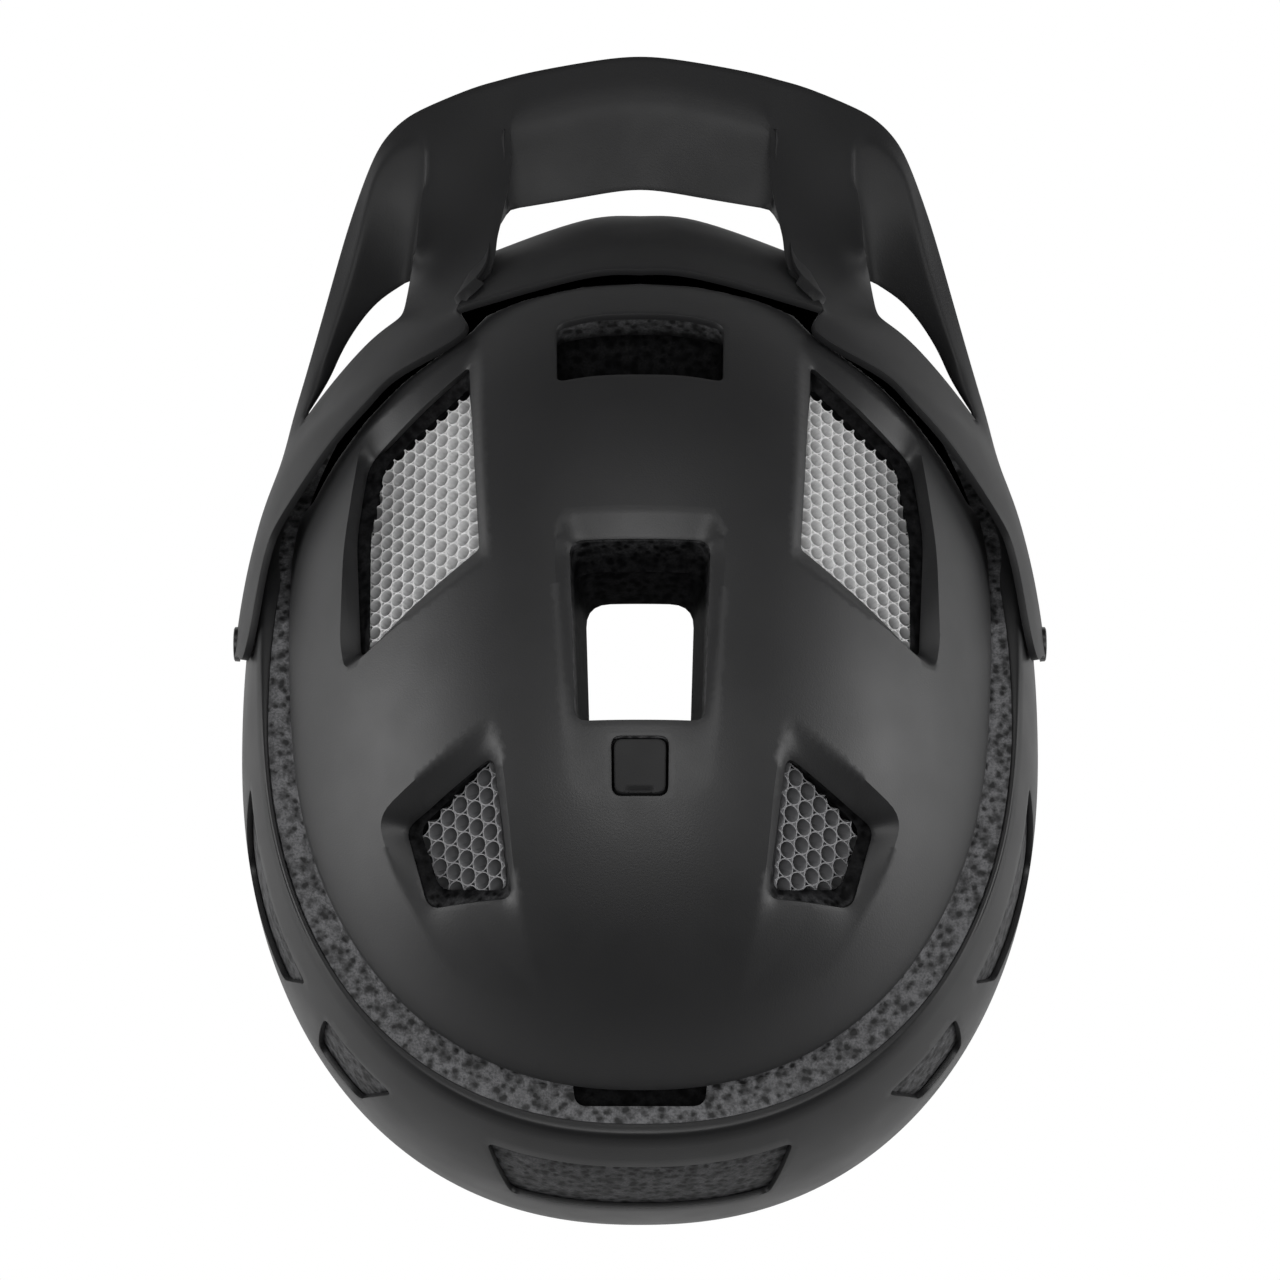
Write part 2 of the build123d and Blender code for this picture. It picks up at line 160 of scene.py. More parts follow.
def inside(loop, xy):
    """True where a point lies in an outline: a ray towards +x crosses the outline an odd number of times."""
    crossed = np.zeros(len(xy), bool)
    for a, b in zip(loop, np.roll(loop, -1, 0)):
        hit = (a[1] > xy[:, 1]) != (b[1] > xy[:, 1])
        if hit.any():
            where = (b[0] - a[0]) * (xy[:, 1] - a[1]) / (b[1] - a[1] + 1e-12) + a[0]
            crossed ^= hit & (xy[:, 0] < where)
    return crossed


def gap(line, xy, closed=True):
    """Distance from each point to the nearest spot on a line of straight pieces."""
    best = np.full(len(xy), 1e9)
    ends = np.roll(line, -1, 0) if closed else line[1:]
    for a, b in zip(line, ends):
        way = b - a
        t = np.clip(((xy - a) @ way) / (way @ way + 1e-12), 0, 1)
        best = np.minimum(best, np.hypot(*(xy - a - t[:, None] * way).T))
    return best


def outline(corners, radius, step=1.5, counts=None):
    """A closed outline with rounded corners, each a quadratic arc that starts radius before its corner.
    Outlines made with the same counts of points between corners match point for point."""
    corners = np.array(corners, float)
    radius = np.broadcast_to(radius, len(corners))
    last, following = np.roll(corners, 1, 0), np.roll(corners, -1, 0)
    long = np.hypot(*(following - corners).T)
    counts = np.maximum(1, np.ceil(long / step)).astype(int) if counts is None else counts
    reach_in = np.minimum(radius / np.roll(long, 1), 0.45)[:, None]
    reach_out = np.minimum(radius / long, 0.45)[:, None]
    arrive = corners + (last - corners) * reach_in
    leave = corners + (following - corners) * reach_out
    t = np.linspace(0, 1, 6)[:, None]
    points = []
    for i, count in enumerate(counts):
        points.append((1 - t) ** 2 * arrive[i] + 2 * t * (1 - t) * corners[i] + t ** 2 * leave[i])
        u = np.linspace(0, 1, count + 1)[1:-1, None]
        points.append(leave[i] * (1 - u) + arrive[(i + 1) % len(corners)] * u)
    return np.concatenate(points), counts


def keep_value(piece, name, values):
    """Stores one number for each point of a piece, for its material to read."""
    piece.data.attributes.new(name, "FLOAT", "POINT").data.foreach_set("value", values)


def both_sides(loop):
    """An outline on the wearer's left, and its mirror image."""
    return [loop, loop[::-1] * (-1, 1)]


def fill(outer, holes, creases, step):
    """Fills an outline with triangles: hex-packed points step apart, kept off every line, joined to the
    outline, the holes and the creases. Gives the points, the triangles and each line's point numbers."""
    lines = [outer, *holes, *creases]
    low, high = outer.min(0), outer.max(0)
    rows = np.arange(low[1], high[1], step * 0.866)
    across = np.arange(low[0], high[0], step)
    grid = np.stack(np.meshgrid(across, rows), -1)
    grid[1::2, :, 0] += step / 2
    grid = grid.reshape(-1, 2)
    keep = inside(outer, grid)
    for hole in holes:
        keep &= ~inside(hole, grid)
    grid = grid[keep]
    for line in lines:
        grid = grid[gap(line, grid) > 0.6 * step]
    points = np.concatenate([*lines, grid])
    starts = np.cumsum([0, *[len(line) for line in lines]])
    numbers = [np.arange(a, b) for a, b in zip(starts[:-1], starts[1:])]
    edges = np.concatenate([np.stack([n, np.roll(n, -1)], 1) for n in numbers])
    found = delaunay_2d_cdt(points.tolist(), edges.tolist(), [], 0, 1e-7, True)
    net, triangles = np.array([tuple(v) for v in found[0]]), np.array(found[2])
    if len(net) != len(points) or np.abs(net[:starts[-1]] - points[:starts[-1]]).max() > 1e-4:
        print("  lines crossed or met while filling:", len(net) - len(points))
        numbers = [np.array([np.argmin(np.hypot(*(net - p).T)) for p in line]) for line in lines]
    centre = net[triangles].mean(1)
    keep = inside(outer, centre)
    for hole in holes:
        keep &= ~inside(hole, centre)
    return net, triangles[keep], numbers


# %% [markdown]
# ## The two domes
# The helmet is two nested domes. Seen from above each is a superellipse, a little squarer than an ellipse,
# and from the side each is half an ellipse. A few numbers give them, so a point on the surface comes from a
# formula and not from measuring a mesh. Flat outlines are drawn in plan, and for the net they are stretched
# by angle over sine, so that triangles stay even where the dome falls away.

# %% Domes
POWER = 2.25
MID_Y, WIDEST = 11.0, 12.0
MIDDLE = np.array([0, MID_Y])
LOWER = np.array([111.0, 148.3, 132.8, 116.0, 160.0])
CROWN = np.array([103.6, 141.0, 122.5, 116.0, 160.0])
CAVITY = np.array([86.0, 114.0, 99.0, 84.0, 260.0])
SHELL = 1.8
RIM = [(-170, 2), (-120, 0), (-60, -20), (0, -15), (40, -18), (90, -42), (120, -48), (170, -48)]
LIP = [(-170, 12), (-80, 20), (-47, 32), (-18, 47), (6, 53), (60, 57), (170, 57)]


def along(curve, y):
    """Height of a side curve at y: cubics whose slope at a point is the mean of the slopes beside it."""
    at, high = np.array(curve, float).T
    slope = np.gradient(high, at)
    i = np.clip(np.searchsorted(at, y) - 1, 0, len(at) - 2)
    wide = at[i + 1] - at[i]
    t = (y - at[i]) / wide
    ends = (2 * t ** 3 - 3 * t ** 2 + 1) * high[i] + (3 * t ** 2 - 2 * t ** 3) * high[i + 1]
    return ends + ((t ** 3 - 2 * t ** 2 + t) * slope[i] + (t ** 3 - t ** 2) * slope[i + 1]) * wide


def reach(dome, xy):
    """How far out a plan point lies: (|x/w|^n + |y/l|^n)^(1/n), which is 1 on the dome's widest outline."""
    x, y = (xy - MIDDLE).T
    long = np.where(y > 0, dome[2], dome[1])
    return (np.abs(x / dome[0]) ** POWER + np.abs(y / long) ** POWER) ** (1 / POWER)


def height(dome, xy):
    """Height of the dome over a plan point: the widest level plus its rise times the root of 1 - reach^2."""
    return WIDEST + dome[3] * np.sqrt(np.clip(1 - reach(dome, xy) ** 2, 0, 1))


def unroll(dome, xy):
    """Plan points stretched from the middle by angle over sine."""
    out = np.clip(reach(dome, xy), 1e-6, 0.99999)
    return (xy - MIDDLE) * (np.arcsin(out) / out)[:, None]


def roll_up(dome, flat):
    """The plan points that unroll gave, shrunk back by sine over angle."""
    angle = np.maximum(reach(dome, flat + MIDDLE), 1e-6)
    return flat * (np.sin(angle) / angle)[:, None] + MIDDLE


def other(share):
    """The other coordinate of a point on the unit superellipse: (1 - |share|^n)^(1/n)."""
    return (1 - np.abs(share) ** POWER) ** (1 / POWER)


def stretch(c, s):
    """How far out a unit superellipse lies in the direction of cosine c and sine s."""
    return (np.abs(c) ** POWER + np.abs(s) ** POWER) ** (-1 / POWER)


def on_dome(dome, turn, level):
    """Points round a dome at the angles turn, at the heights that level gives for their y."""
    c, s = np.cos(turn), np.sin(turn)
    k = stretch(c, s)
    long = np.where(s > 0, dome[2], dome[1])
    y = MID_Y + long * k * s
    for _ in range(8):
        z = level(y)
        up = (z - WIDEST) / np.where(z > WIDEST, dome[3], dome[4])
        out = np.sqrt(np.clip(1 - up ** 2, 1e-9, 1)) * k
        y = MID_Y + long * out * s
    return np.stack([dome[0] * out * c, y, z], -1)


TURNS = np.radians(np.arange(0, 360, 1.0))
print("lip at the nape:", along(LIP, 130.0), "mm")

# %% [markdown]
# ## Vent outlines
# Four side vents, the centre vent, the front slot and the plug's hole go through the crown shell. Each side
# vent has three outlines on the wearer's left: the crease where the shell starts to dip, the edge of the
# hole at the bottom of the dip, and the top of the tube block, which sits further in.

# %% Vent outlines
FRONT_CREASE, _ = outline([(43.6, -80), (40.0, -7.5), (78.6, 14.3), (80.2, 4.5), (79.9, -22), (77.9, -40.3),
                           (75.8, -58.5)], [3, 1.5, 4, 3, 6, 6, 6])
FRONT_EDGE, front_counts = outline([(46.2, -71.8), (42.3, -11.4), (74.4, 9.6), (76.5, -26.6), (73.8, -49.8)],
                                   [2.2, 1.2, 3, 6, 4])
FRONT_COMB, _ = outline([(46.3, -66.8), (40.6, -9.0), (71.9, 13), (72.9, -28.4), (69.5, -49.5)],
                        [1.5, 1.2, 3, 5, 3], counts=front_counts)
REAR_CREASE, _ = outline([(38.2, 34.8), (35.2, 50), (32.4, 77), (25.4, 103), (36.5, 101.6), (50, 95.2),
                          (64.5, 71.1), (69.3, 54.8)], [4, 6, 8, 5, 8, 10, 6, 5])
REAR_EDGE, rear_counts = outline([(38.1, 44.6), (33.2, 79.6), (55.6, 79.2), (61.6, 57.6)], [3, 3, 3.5, 3])
REAR_COMB, _ = outline([(37.8, 43.6), (34.6, 76), (52.6, 73), (58, 57.6)], [3, 3, 3, 3], counts=rear_counts)
CENTRE_CREASE, _ = outline([(20.6, -19.2), (-20.6, -19.2), (-22.4, -8), (-20.7, 21), (-18.8, 58), (18.8, 58),
                            (20.7, 21), (22.4, -8)], [5, 5, 5, 8, 8, 8, 8, 5])
CENTRE_EDGE, centre_counts = outline([(18.5, -11.4), (-18.5, -11.4), (-16.8, 38.3), (16.8, 38.3)],
                                     [4, 4, 3.2, 3.2])
CENTRE_IN, _ = outline([(14.4, -2.6), (-14.4, -2.6), (-13.3, 33), (13.3, 33)], [6.5, 6.5, 3, 3],
                       counts=centre_counts)
SLOT_EDGE, _ = outline([(22.9, -81.4), (22.4, -60.1), (11, -61.7), (-11, -61.7), (-22.4, -60.1),
                        (-22.9, -81.4), (-12, -84.5), (12, -84.5)], [3.4, 2.6, 7, 7, 2.6, 3.4, 8, 8])
PLUG_EDGE, plug_counts = outline([(7.5, 42.4), (-7.5, 42.4), (-7.3, 57.4), (7.3, 57.4)], 2.6, step=0.8)
PLUG_SIDE, _ = outline([(6.9, 43), (-6.9, 43), (-6.7, 56.8), (6.7, 56.8)], 2.4, counts=plug_counts)
BROW_STEP = np.array([(0, -97.6), (16, -96.6), (33, -93.2), (42, -89.6), (46, -84), (55, -77.6), (65, -71.5),
                      (75, -63.5), (84, -54), (90, -46)])
BROW_DROP, BROW_RUN = 8.0, 3.6


def front_dip(x, y):
    """Depth at a front vent's edge, in mm: it grows outwards."""
    return np.interp(x, [42, 60, 74], [2.2, 4.4, 7.8])


def rear_dip(x, y):
    """Depth at a rear vent's edge: deepest at the outer corner, and half as deep at the front tip."""
    outer = np.clip((78 - y) / 22, 0, 1) * np.interp(x, [36, 56], [0.25, 1])
    return (2.4 + 6 * outer) * np.interp(y, [38, 54], [0.5, 1])


def centre_dip(x, y):
    """Depth at the centre vent's edge: it fades towards the rear."""
    return np.interp(y, [-11, 38], [3.4, 0.9])


DIPS = [(FRONT_CREASE, FRONT_EDGE, front_dip), (REAR_CREASE, REAR_EDGE, rear_dip),
        (CENTRE_CREASE, CENTRE_EDGE, centre_dip)]


def past_step(xy):
    """How far in front of the brow step a plan point lies."""
    return np.interp(np.abs(xy[:, 0]), *BROW_STEP.T) - xy[:, 1]


def sink(xy):
    """How far the crown dips below its dome: across each dip, depth grows from 0 at the crease to its full
    value at the hole's edge, in step with distance to the crease over the sum of both distances. In front
    of the brow step, where the visor lies over it, the crown drops in a smooth s-curve, t^2 (3 - 2 t)."""
    left = np.stack([np.abs(xy[:, 0]), xy[:, 1]], 1)
    deep = np.zeros(len(xy))
    for crease, edge, full in DIPS:
        near = np.flatnonzero(inside(crease, left))
        if len(near):
            spot = left[near]
            to_crease, to_edge = gap(crease, spot), gap(edge, spot) * ~inside(edge, spot)
            t = to_crease / (to_crease + to_edge + 1e-9)
            deep[near] = full(*spot.T) * t
    under = np.clip(past_step(xy) / BROW_RUN, 0, 1)
    return np.maximum(deep, BROW_DROP * under * under * (3 - 2 * under))


holes_in_crown = [*both_sides(FRONT_EDGE), *both_sides(REAR_EDGE), CENTRE_EDGE, SLOT_EDGE, PLUG_EDGE]
dips_in_crown = [*both_sides(FRONT_CREASE), *both_sides(REAR_CREASE), CENTRE_CREASE]
print("points round a front vent:", len(FRONT_EDGE))

# %% [markdown]
# ## Moulded polycarbonate
# The shells and the visor are black polycarbonate with a fine matte texture from the mould. To the eye it is
# nearly black with a broad, soft sheen: roughness is high, and a bump of fine grains, about 0.5 mm apart so
# that they still show, breaks the highlight up. A slow noise shifts the roughness as handling does. Close
# under the visor's band no light gets in: there the crown's colour is painted near-black and its reflection
# taken away, a painted shade.

# %% Matte shell material
def moulded(name, colour, roughness, grain=0.5, bump=0.03, **more):
    """A moulded plastic: roughness wanders slowly, and a fine noise with grains grain mm apart gives bump."""
    material, tree, surface = new_material(name, **{"Base Color": linear(colour), **more})
    spot = add(tree, "ShaderNodeTexCoord").outputs["Object"]
    slow = add(tree, "ShaderNodeTexNoise", {"Vector": spot, "Scale": 60.0, "Detail": 2.0})
    wander = add(tree, "ShaderNodeMapRange", {"Value": slow.outputs[0], "From Min": 0.3, "From Max": 0.7,
                                              "To Min": roughness - 0.03, "To Max": roughness + 0.03})
    tree.links.new(wander.outputs[0], surface.inputs["Roughness"])
    fine = add(tree, "ShaderNodeTexNoise", {"Vector": spot, "Scale": 1000 / grain, "Detail": 1.0})
    tree.links.new(add(tree, "ShaderNodeBump", {"Height": fine.outputs[0], "Strength": bump,
                                                "Distance": 0.0003}).outputs[0], surface.inputs["Normal"])
    return material


CROWN_TONE = "#1e1e1f"
crown_black = moulded("Matte polycarbonate, crown", CROWN_TONE, 0.5, bump=0.12)
visor_black = moulded("Matte visor polycarbonate", "#1d1d1e", 0.56, bump=0.12, IOR=1.42)
lip_black = moulded("Satin lower shell polycarbonate", "#161617", 0.45, bump=0.08, IOR=1.42)
plug_black = moulded("Matte plug polycarbonate", "#161617", 0.62, bump=0.1, IOR=1.4)

tree = crown_black.node_tree
surface = tree.nodes["Principled BSDF"]
# painted shade under the visor's band: the hidden value mixes the crown's colour towards near-black #020202
# and takes its reflection away
painted_visor_shade = add(tree, "ShaderNodeAttribute", attribute_name="hidden").outputs["Fac"]
tone = add(tree, "ShaderNodeMix", {"Factor": painted_visor_shade, 6: linear(CROWN_TONE), 7: linear("#020202")},
           data_type="RGBA")
tree.links.new(tone.outputs[2], surface.inputs["Base Color"])
shine = add(tree, "ShaderNodeMapRange", {"Value": painted_visor_shade, "To Min": 0.5, "To Max": 0.0})
tree.links.new(shine.outputs[0], surface.inputs["Specular IOR Level"])
print("shell materials ready")

# %% [markdown]
# ## Bead foam
# The liner is expanded bead foam. Beads of about 2.2 mm are steamed together in the mould, so a bare face
# shows a pale web of bead walls round darker soft hollows. A Voronoi pattern at the bead's size, bent by a
# fine noise, gives the hollows and the web, and a finer noise the glinting specks of opened beads. Down the
# vents hardly any light reaches the foam: a depth value kept on the piece's points paints its tone darker and
# takes its reflection away there, a painted shade, and the same painted shade darkens the rear notch and,
# less, the foam behind the lower shell's windows.

# %% Bead foam material
BEAD = 2.2
bead_foam, tree, surface = new_material("Expanded bead foam", Roughness=0.6)
spot = add(tree, "ShaderNodeTexCoord").outputs["Object"]
warp = add(tree, "ShaderNodeTexNoise", {"Vector": spot, "Scale": 700.0, "Detail": 2.0})
bent = add(tree, "ShaderNodeVectorMath", {0: warp.outputs["Color"], 1: (0.0014,) * 3}, operation="MULTIPLY")
bent = add(tree, "ShaderNodeVectorMath", {0: spot, 1: bent.outputs[0]}, operation="ADD")
cells = add(tree, "ShaderNodeTexVoronoi", {"Vector": bent.outputs[0], "Scale": 1000 / BEAD},
            feature="SMOOTH_F1")
specks = add(tree, "ShaderNodeTexNoise", {"Vector": spot, "Scale": 1500.0, "Detail": 3.0})
patches = add(tree, "ShaderNodeTexNoise", {"Vector": spot, "Scale": 260.0, "Detail": 1.0})
web = add(tree, "ShaderNodeMapRange", {"Value": cells.outputs[0], "From Min": 0.2, "From Max": 0.56})
grains = add(tree, "ShaderNodeMapRange", {"Value": specks.outputs[0], "From Min": 0.3, "From Max": 0.75,
                                          "To Min": 0.45, "To Max": 1.35})
worn = add(tree, "ShaderNodeMapRange", {"Value": patches.outputs[0], "From Min": 0.35, "From Max": 0.65,
                                        "To Min": 0.75, "To Max": 1.15})
level = add(tree, "ShaderNodeMath", {0: web.outputs[0], 1: grains.outputs[0]}, operation="MULTIPLY")
level = add(tree, "ShaderNodeMath", {0: level.outputs[0], 1: worn.outputs[0]}, operation="MULTIPLY")
# painted shade: the deep value on the foam's points darkens its tone towards #09090a and takes its reflection
# away down the vents, in the rear notch and behind the lower shell's windows
deep = add(tree, "ShaderNodeAttribute", attribute_name="deep")
painted_lighting = add(tree, "ShaderNodeMapRange", {"Value": deep.outputs["Fac"], "To Min": 1.0, "To Max": 0.07})
level = add(tree, "ShaderNodeMath", {0: level.outputs[0], 1: painted_lighting.outputs[0]}, operation="MULTIPLY")
shade = add(tree, "ShaderNodeMix", {"Factor": level.outputs[0], 6: linear("#09090a"), 7: linear("#6c6c6e")},
            data_type="RGBA")
shine = add(tree, "ShaderNodeMapRange", {"Value": deep.outputs["Fac"], "To Min": 0.45, "To Max": 0.04})
tree.links.new(shine.outputs[0], surface.inputs["Specular IOR Level"])
tree.links.new(shade.outputs[2], surface.inputs["Base Color"])
tree.links.new(add(tree, "ShaderNodeBump", {"Height": level.outputs[0], "Strength": 0.5,
                                            "Distance": 0.0004}).outputs[0], surface.inputs["Normal"])
print("beads of", BEAD, "mm")

# %% [markdown]
# ## Crown shell
# On the real helmet this is a thin sheet, formed over the foam in the mould. Its net is filled in the flat,
# lifted onto the dome less the dips, then given its thickness by Solidify. A small Bevel rounds the cut
# edges, so that they catch a thin line of light as the trimmed plastic does.

# %% Crown shell
def flat(dome, loops):
    """Plan outlines as they lie in the flat net."""
    return [unroll(dome, loop) for loop in loops]


def wall(piece, thick, round_edge):
    """Gives a sheet its wall inwards and rounds its cut edges, sizes in mm."""
    solid = piece.modifiers.new("Wall", "SOLIDIFY")
    solid.thickness, solid.offset, solid.use_even_offset = thick / 1000, -1, False
    soft = piece.modifiers.new("Rounded edges", "BEVEL")
    soft.width, soft.segments, soft.limit_method = round_edge / 1000, 2, "ANGLE"
    soft.angle_limit = math.radians(60)


ABOVE_LIP, CUT_ROUND = 4.0, 0.45
crown_edge = on_dome(CROWN, TURNS, lambda y: along(LIP, y) + ABOVE_LIP)[:, :2]
net, triangles, _ = fill(unroll(CROWN, crown_edge), flat(CROWN, holes_in_crown),
                         flat(CROWN, dips_in_crown), 1.5)
plan = roll_up(CROWN, net)
crown = put("crown_shell_skin", np.column_stack([plan, height(CROWN, plan) - sink(plan)]), [triangles],
            crown_black, "helmet", ["crown_shell"], angle=40)
# painted shade under the visor's band: near-black from 1.2 mm in front of the step, and plain again from 24
# to 32 mm in front of it
past = past_step(plan)
keep_value(crown, "hidden", np.clip(past / 1.2, 0, 1) * (1 - np.clip((past - 24) / 8, 0, 1)))
wall(crown, SHELL, CUT_ROUND)

# %% [markdown]
# ## Foam liner
# The liner is one closed body: the top under the crown shell with the bare ledge round it, the outer wall
# behind the lower shell, the underside of the rim, and the hollow for the head. Each vent is a tunnel with
# drafted walls from the hole in the shell down through the tube block. All of it shares points, so no seam
# opens between ledge, wall and hollow.

# %% Foam liner
UNDER_CROWN, UNDER_LOWER = CROWN - SHELL, LOWER - SHELL
BELOW_LIP, HOLLOW_SIDE = 0.6, 50.0
PLUG_ROOM_FLOOR, NOTCH_FLOOR = 106.0, 44.0
SLIT = 0.02
NOTCH, _ = outline([(18.6, 112), (-18.6, 112), (-17.2, 125.0), (17.2, 125.0)], [1, 1, 3.2, 3.2])
PLUG_ROOM, _ = outline([(7.6, 42.3), (-7.6, 42.3), (-7.4, 57.5), (7.4, 57.5)], 2.6, step=0.8)


def foam_top(xy):
    """The higher of the dome under the crown shell and the ledge, which follows the lip just below it."""
    ledge = np.minimum(height(UNDER_LOWER, xy), along(LIP, xy[:, 1]) - BELOW_LIP)
    return np.maximum(height(UNDER_CROWN, xy) - sink(xy) - SLIT, ledge)


COMB_TOP = {"front": ((60, -28, 87), (0.633, -0.222, 0.741)), "rear": ((49, 64, 91.4), (0.514, 0.397, 0.76))}


def comb_level(xy, which):
    """Height of a tube block's sloping top over plan points, from a point on it and the way it faces."""
    spot, way = COMB_TOP[which]
    x, y = np.abs(xy[:, 0]), xy[:, 1]
    return spot[2] - ((x - spot[0]) * way[0] + (y - spot[1]) * way[1]) / way[2]


foam_points, foam_faces = [], []


def keep_points(points):
    """Stores points and gives their numbers."""
    start = sum(len(p) for p in foam_points)
    foam_points.append(np.asarray(points, float))
    return np.arange(start, start + len(points))


ledge_line = on_dome(UNDER_LOWER, TURNS, lambda y: along(LIP, y) - BELOW_LIP)
top_holes = [*both_sides(FRONT_EDGE), *both_sides(REAR_EDGE), CENTRE_EDGE, SLOT_EDGE, PLUG_ROOM, NOTCH]
net, triangles, lines = fill(unroll(UNDER_LOWER, ledge_line[:, :2]), flat(UNDER_LOWER, top_holes),
                             flat(UNDER_LOWER, dips_in_crown), 2.6)
plan = roll_up(UNDER_LOWER, net)
plan[lines[0]] = ledge_line[:, :2]
top = keep_points(np.column_stack([plan, foam_top(plan)]))
foam_faces.append(triangles)

in_holes = [*both_sides(FRONT_COMB), *both_sides(REAR_COMB), CENTRE_IN, SLOT_EDGE + (0, 14)]
hollow_line = on_dome(CAVITY, TURNS, lambda y: HOLLOW_SIDE + 0 * y)
net, triangles, in_lines = fill(unroll(CAVITY, hollow_line[:, :2]), flat(CAVITY, in_holes), [], 3.0)
plan = roll_up(CAVITY, net)
hollow = keep_points(np.column_stack([plan, height(CAVITY, plan)]))
foam_faces.append(hollow[triangles][:, ::-1])

# tunnels: the tube blocks' seats, the centre vent's stepped front wall, the front slot's shelf and throat
vents = ["front", "front", "rear", "rear", "centre", "slot"]
for which, mid, top_loop, low_loop in zip(vents, in_holes, lines[1:7], in_lines[1:7]):
    upper, lower = top[top_loop], hollow[low_loop]
    high, low = foam_points[0][upper], foam_points[1][lower - hollow[0]]
    if which in COMB_TOP:
        steps = [np.column_stack([mid, comb_level(mid, which)])]
    elif which == "centre":
        steps = high + (low - high) * np.array([0.26, 0.36, 0.44])[:, None, None]
        steps[1][:, 1] += 2.2 * np.clip(-steps[0][:, 1] / 8, 0, 1)
    else:
        lead = np.clip(-(high[:, 1] + 72) / 12, 0, 1)[:, None]
        steps = [high - (0, 0, 8) + lead * (0, 2.2, 0), high - (0, 0, 24) - lead * (0, 7, 0)]
    rows = [keep_points(row) for row in steps]
    foam_faces += [strip(p, q)[:, ::-1] for p, q in zip([upper, *rows], [*rows, lower])]

# closed pockets: the plug's room and the rear notch
for loop, floor in ((lines[7], PLUG_ROOM_FLOOR), (lines[8], NOTCH_FLOOR)):
    rim_row = top[loop]
    base = foam_points[0][rim_row].copy()
    base[:, 2] = floor
    low_row = keep_points(base)
    centre = keep_points([[*base[:, :2].mean(0), floor]])
    foam_faces += [strip(rim_row, low_row)[:, ::-1],
                   np.stack([np.roll(low_row, -1), low_row, np.full(len(low_row), centre[0])], 1)]

# outer wall, rim underside and the side of the hollow
def rim_level(y):
    """Height of the rim."""
    return along(RIM, y)


down = np.linspace(0, 1, 24)[1:]
rows = [on_dome(UNDER_LOWER, TURNS, lambda y: (along(LIP, y) - BELOW_LIP) * (1 - t) + rim_level(y) * t)
        for t in down]
outer_rim, inner_rim = rows[-1], on_dome(CAVITY, TURNS, rim_level)
rows += [outer_rim + (inner_rim - outer_rim) * t - (0, 0, 1.2 * (t < 1)) for t in (0.08, 0.92, 1.0)]
rows += [on_dome(CAVITY, TURNS, lambda y: rim_level(y) * (1 - t) + HOLLOW_SIDE * t) for t in down[:-1]]
last = top[lines[0]]
for row in [keep_points(row) for row in rows] + [hollow[in_lines[0]]]:
    foam_faces.append(strip(last, row)[:, ::-1])
    last = row


def foam_depth(points):
    """How much painted shade each point of the foam gets, from 0 in the open to 1 down a vent or in the rear
    notch.
    The walls behind the windows of the lower shell lie between."""
    plan, x, y, z = points[:, :2], *points.T
    below = np.clip((height(CROWN, plan) - z - 1.6) / 4.5, 0, 1) * (reach(CROWN, plan) < 0.86)
    in_vent = np.any([inside(hole, plan) | (gap(hole, plan) < 9) for hole in holes_in_crown], 0)
    below = np.maximum(below * np.where(in_vent, 1, 0.3), 0.62 * (z < 48))
    notch = (np.abs(x) < 20) & (y > 109) & (y < 126.5) & (z > 43) & (z < 55.5)
    return np.where(notch, 1.0, below)


every = np.concatenate(foam_points)
foam = put("foam_liner_body", every, foam_faces, bead_foam, "helmet",
           [name for name in nodes if name.startswith("foam_")])
# the painted shade value, which the foam's material reads as deep
keep_value(foam, "deep", foam_depth(every))

# %% [markdown]
# ## Tube blocks
# Behind each side vent sits a block of thin tubes welded side by side, so that air passes and a blow is
# soaked up. Each tube is one hexagonal cell with a round bore: cells tile with no gaps, and the wall is thin
# at the flats and thicker at the corners, as where real tubes fuse. One cell is copied by numpy to every
# place in the vent, and its top is lifted onto the block's slope. The plastic is cloudy and lets some light
# through. Down its bore a tube is painted darker, a painted shade, and most at the outer end of a vent, over
# the thick foam. The rear blocks, which face away from the light, take a darker copy of the same plastic:
# painted shade too.

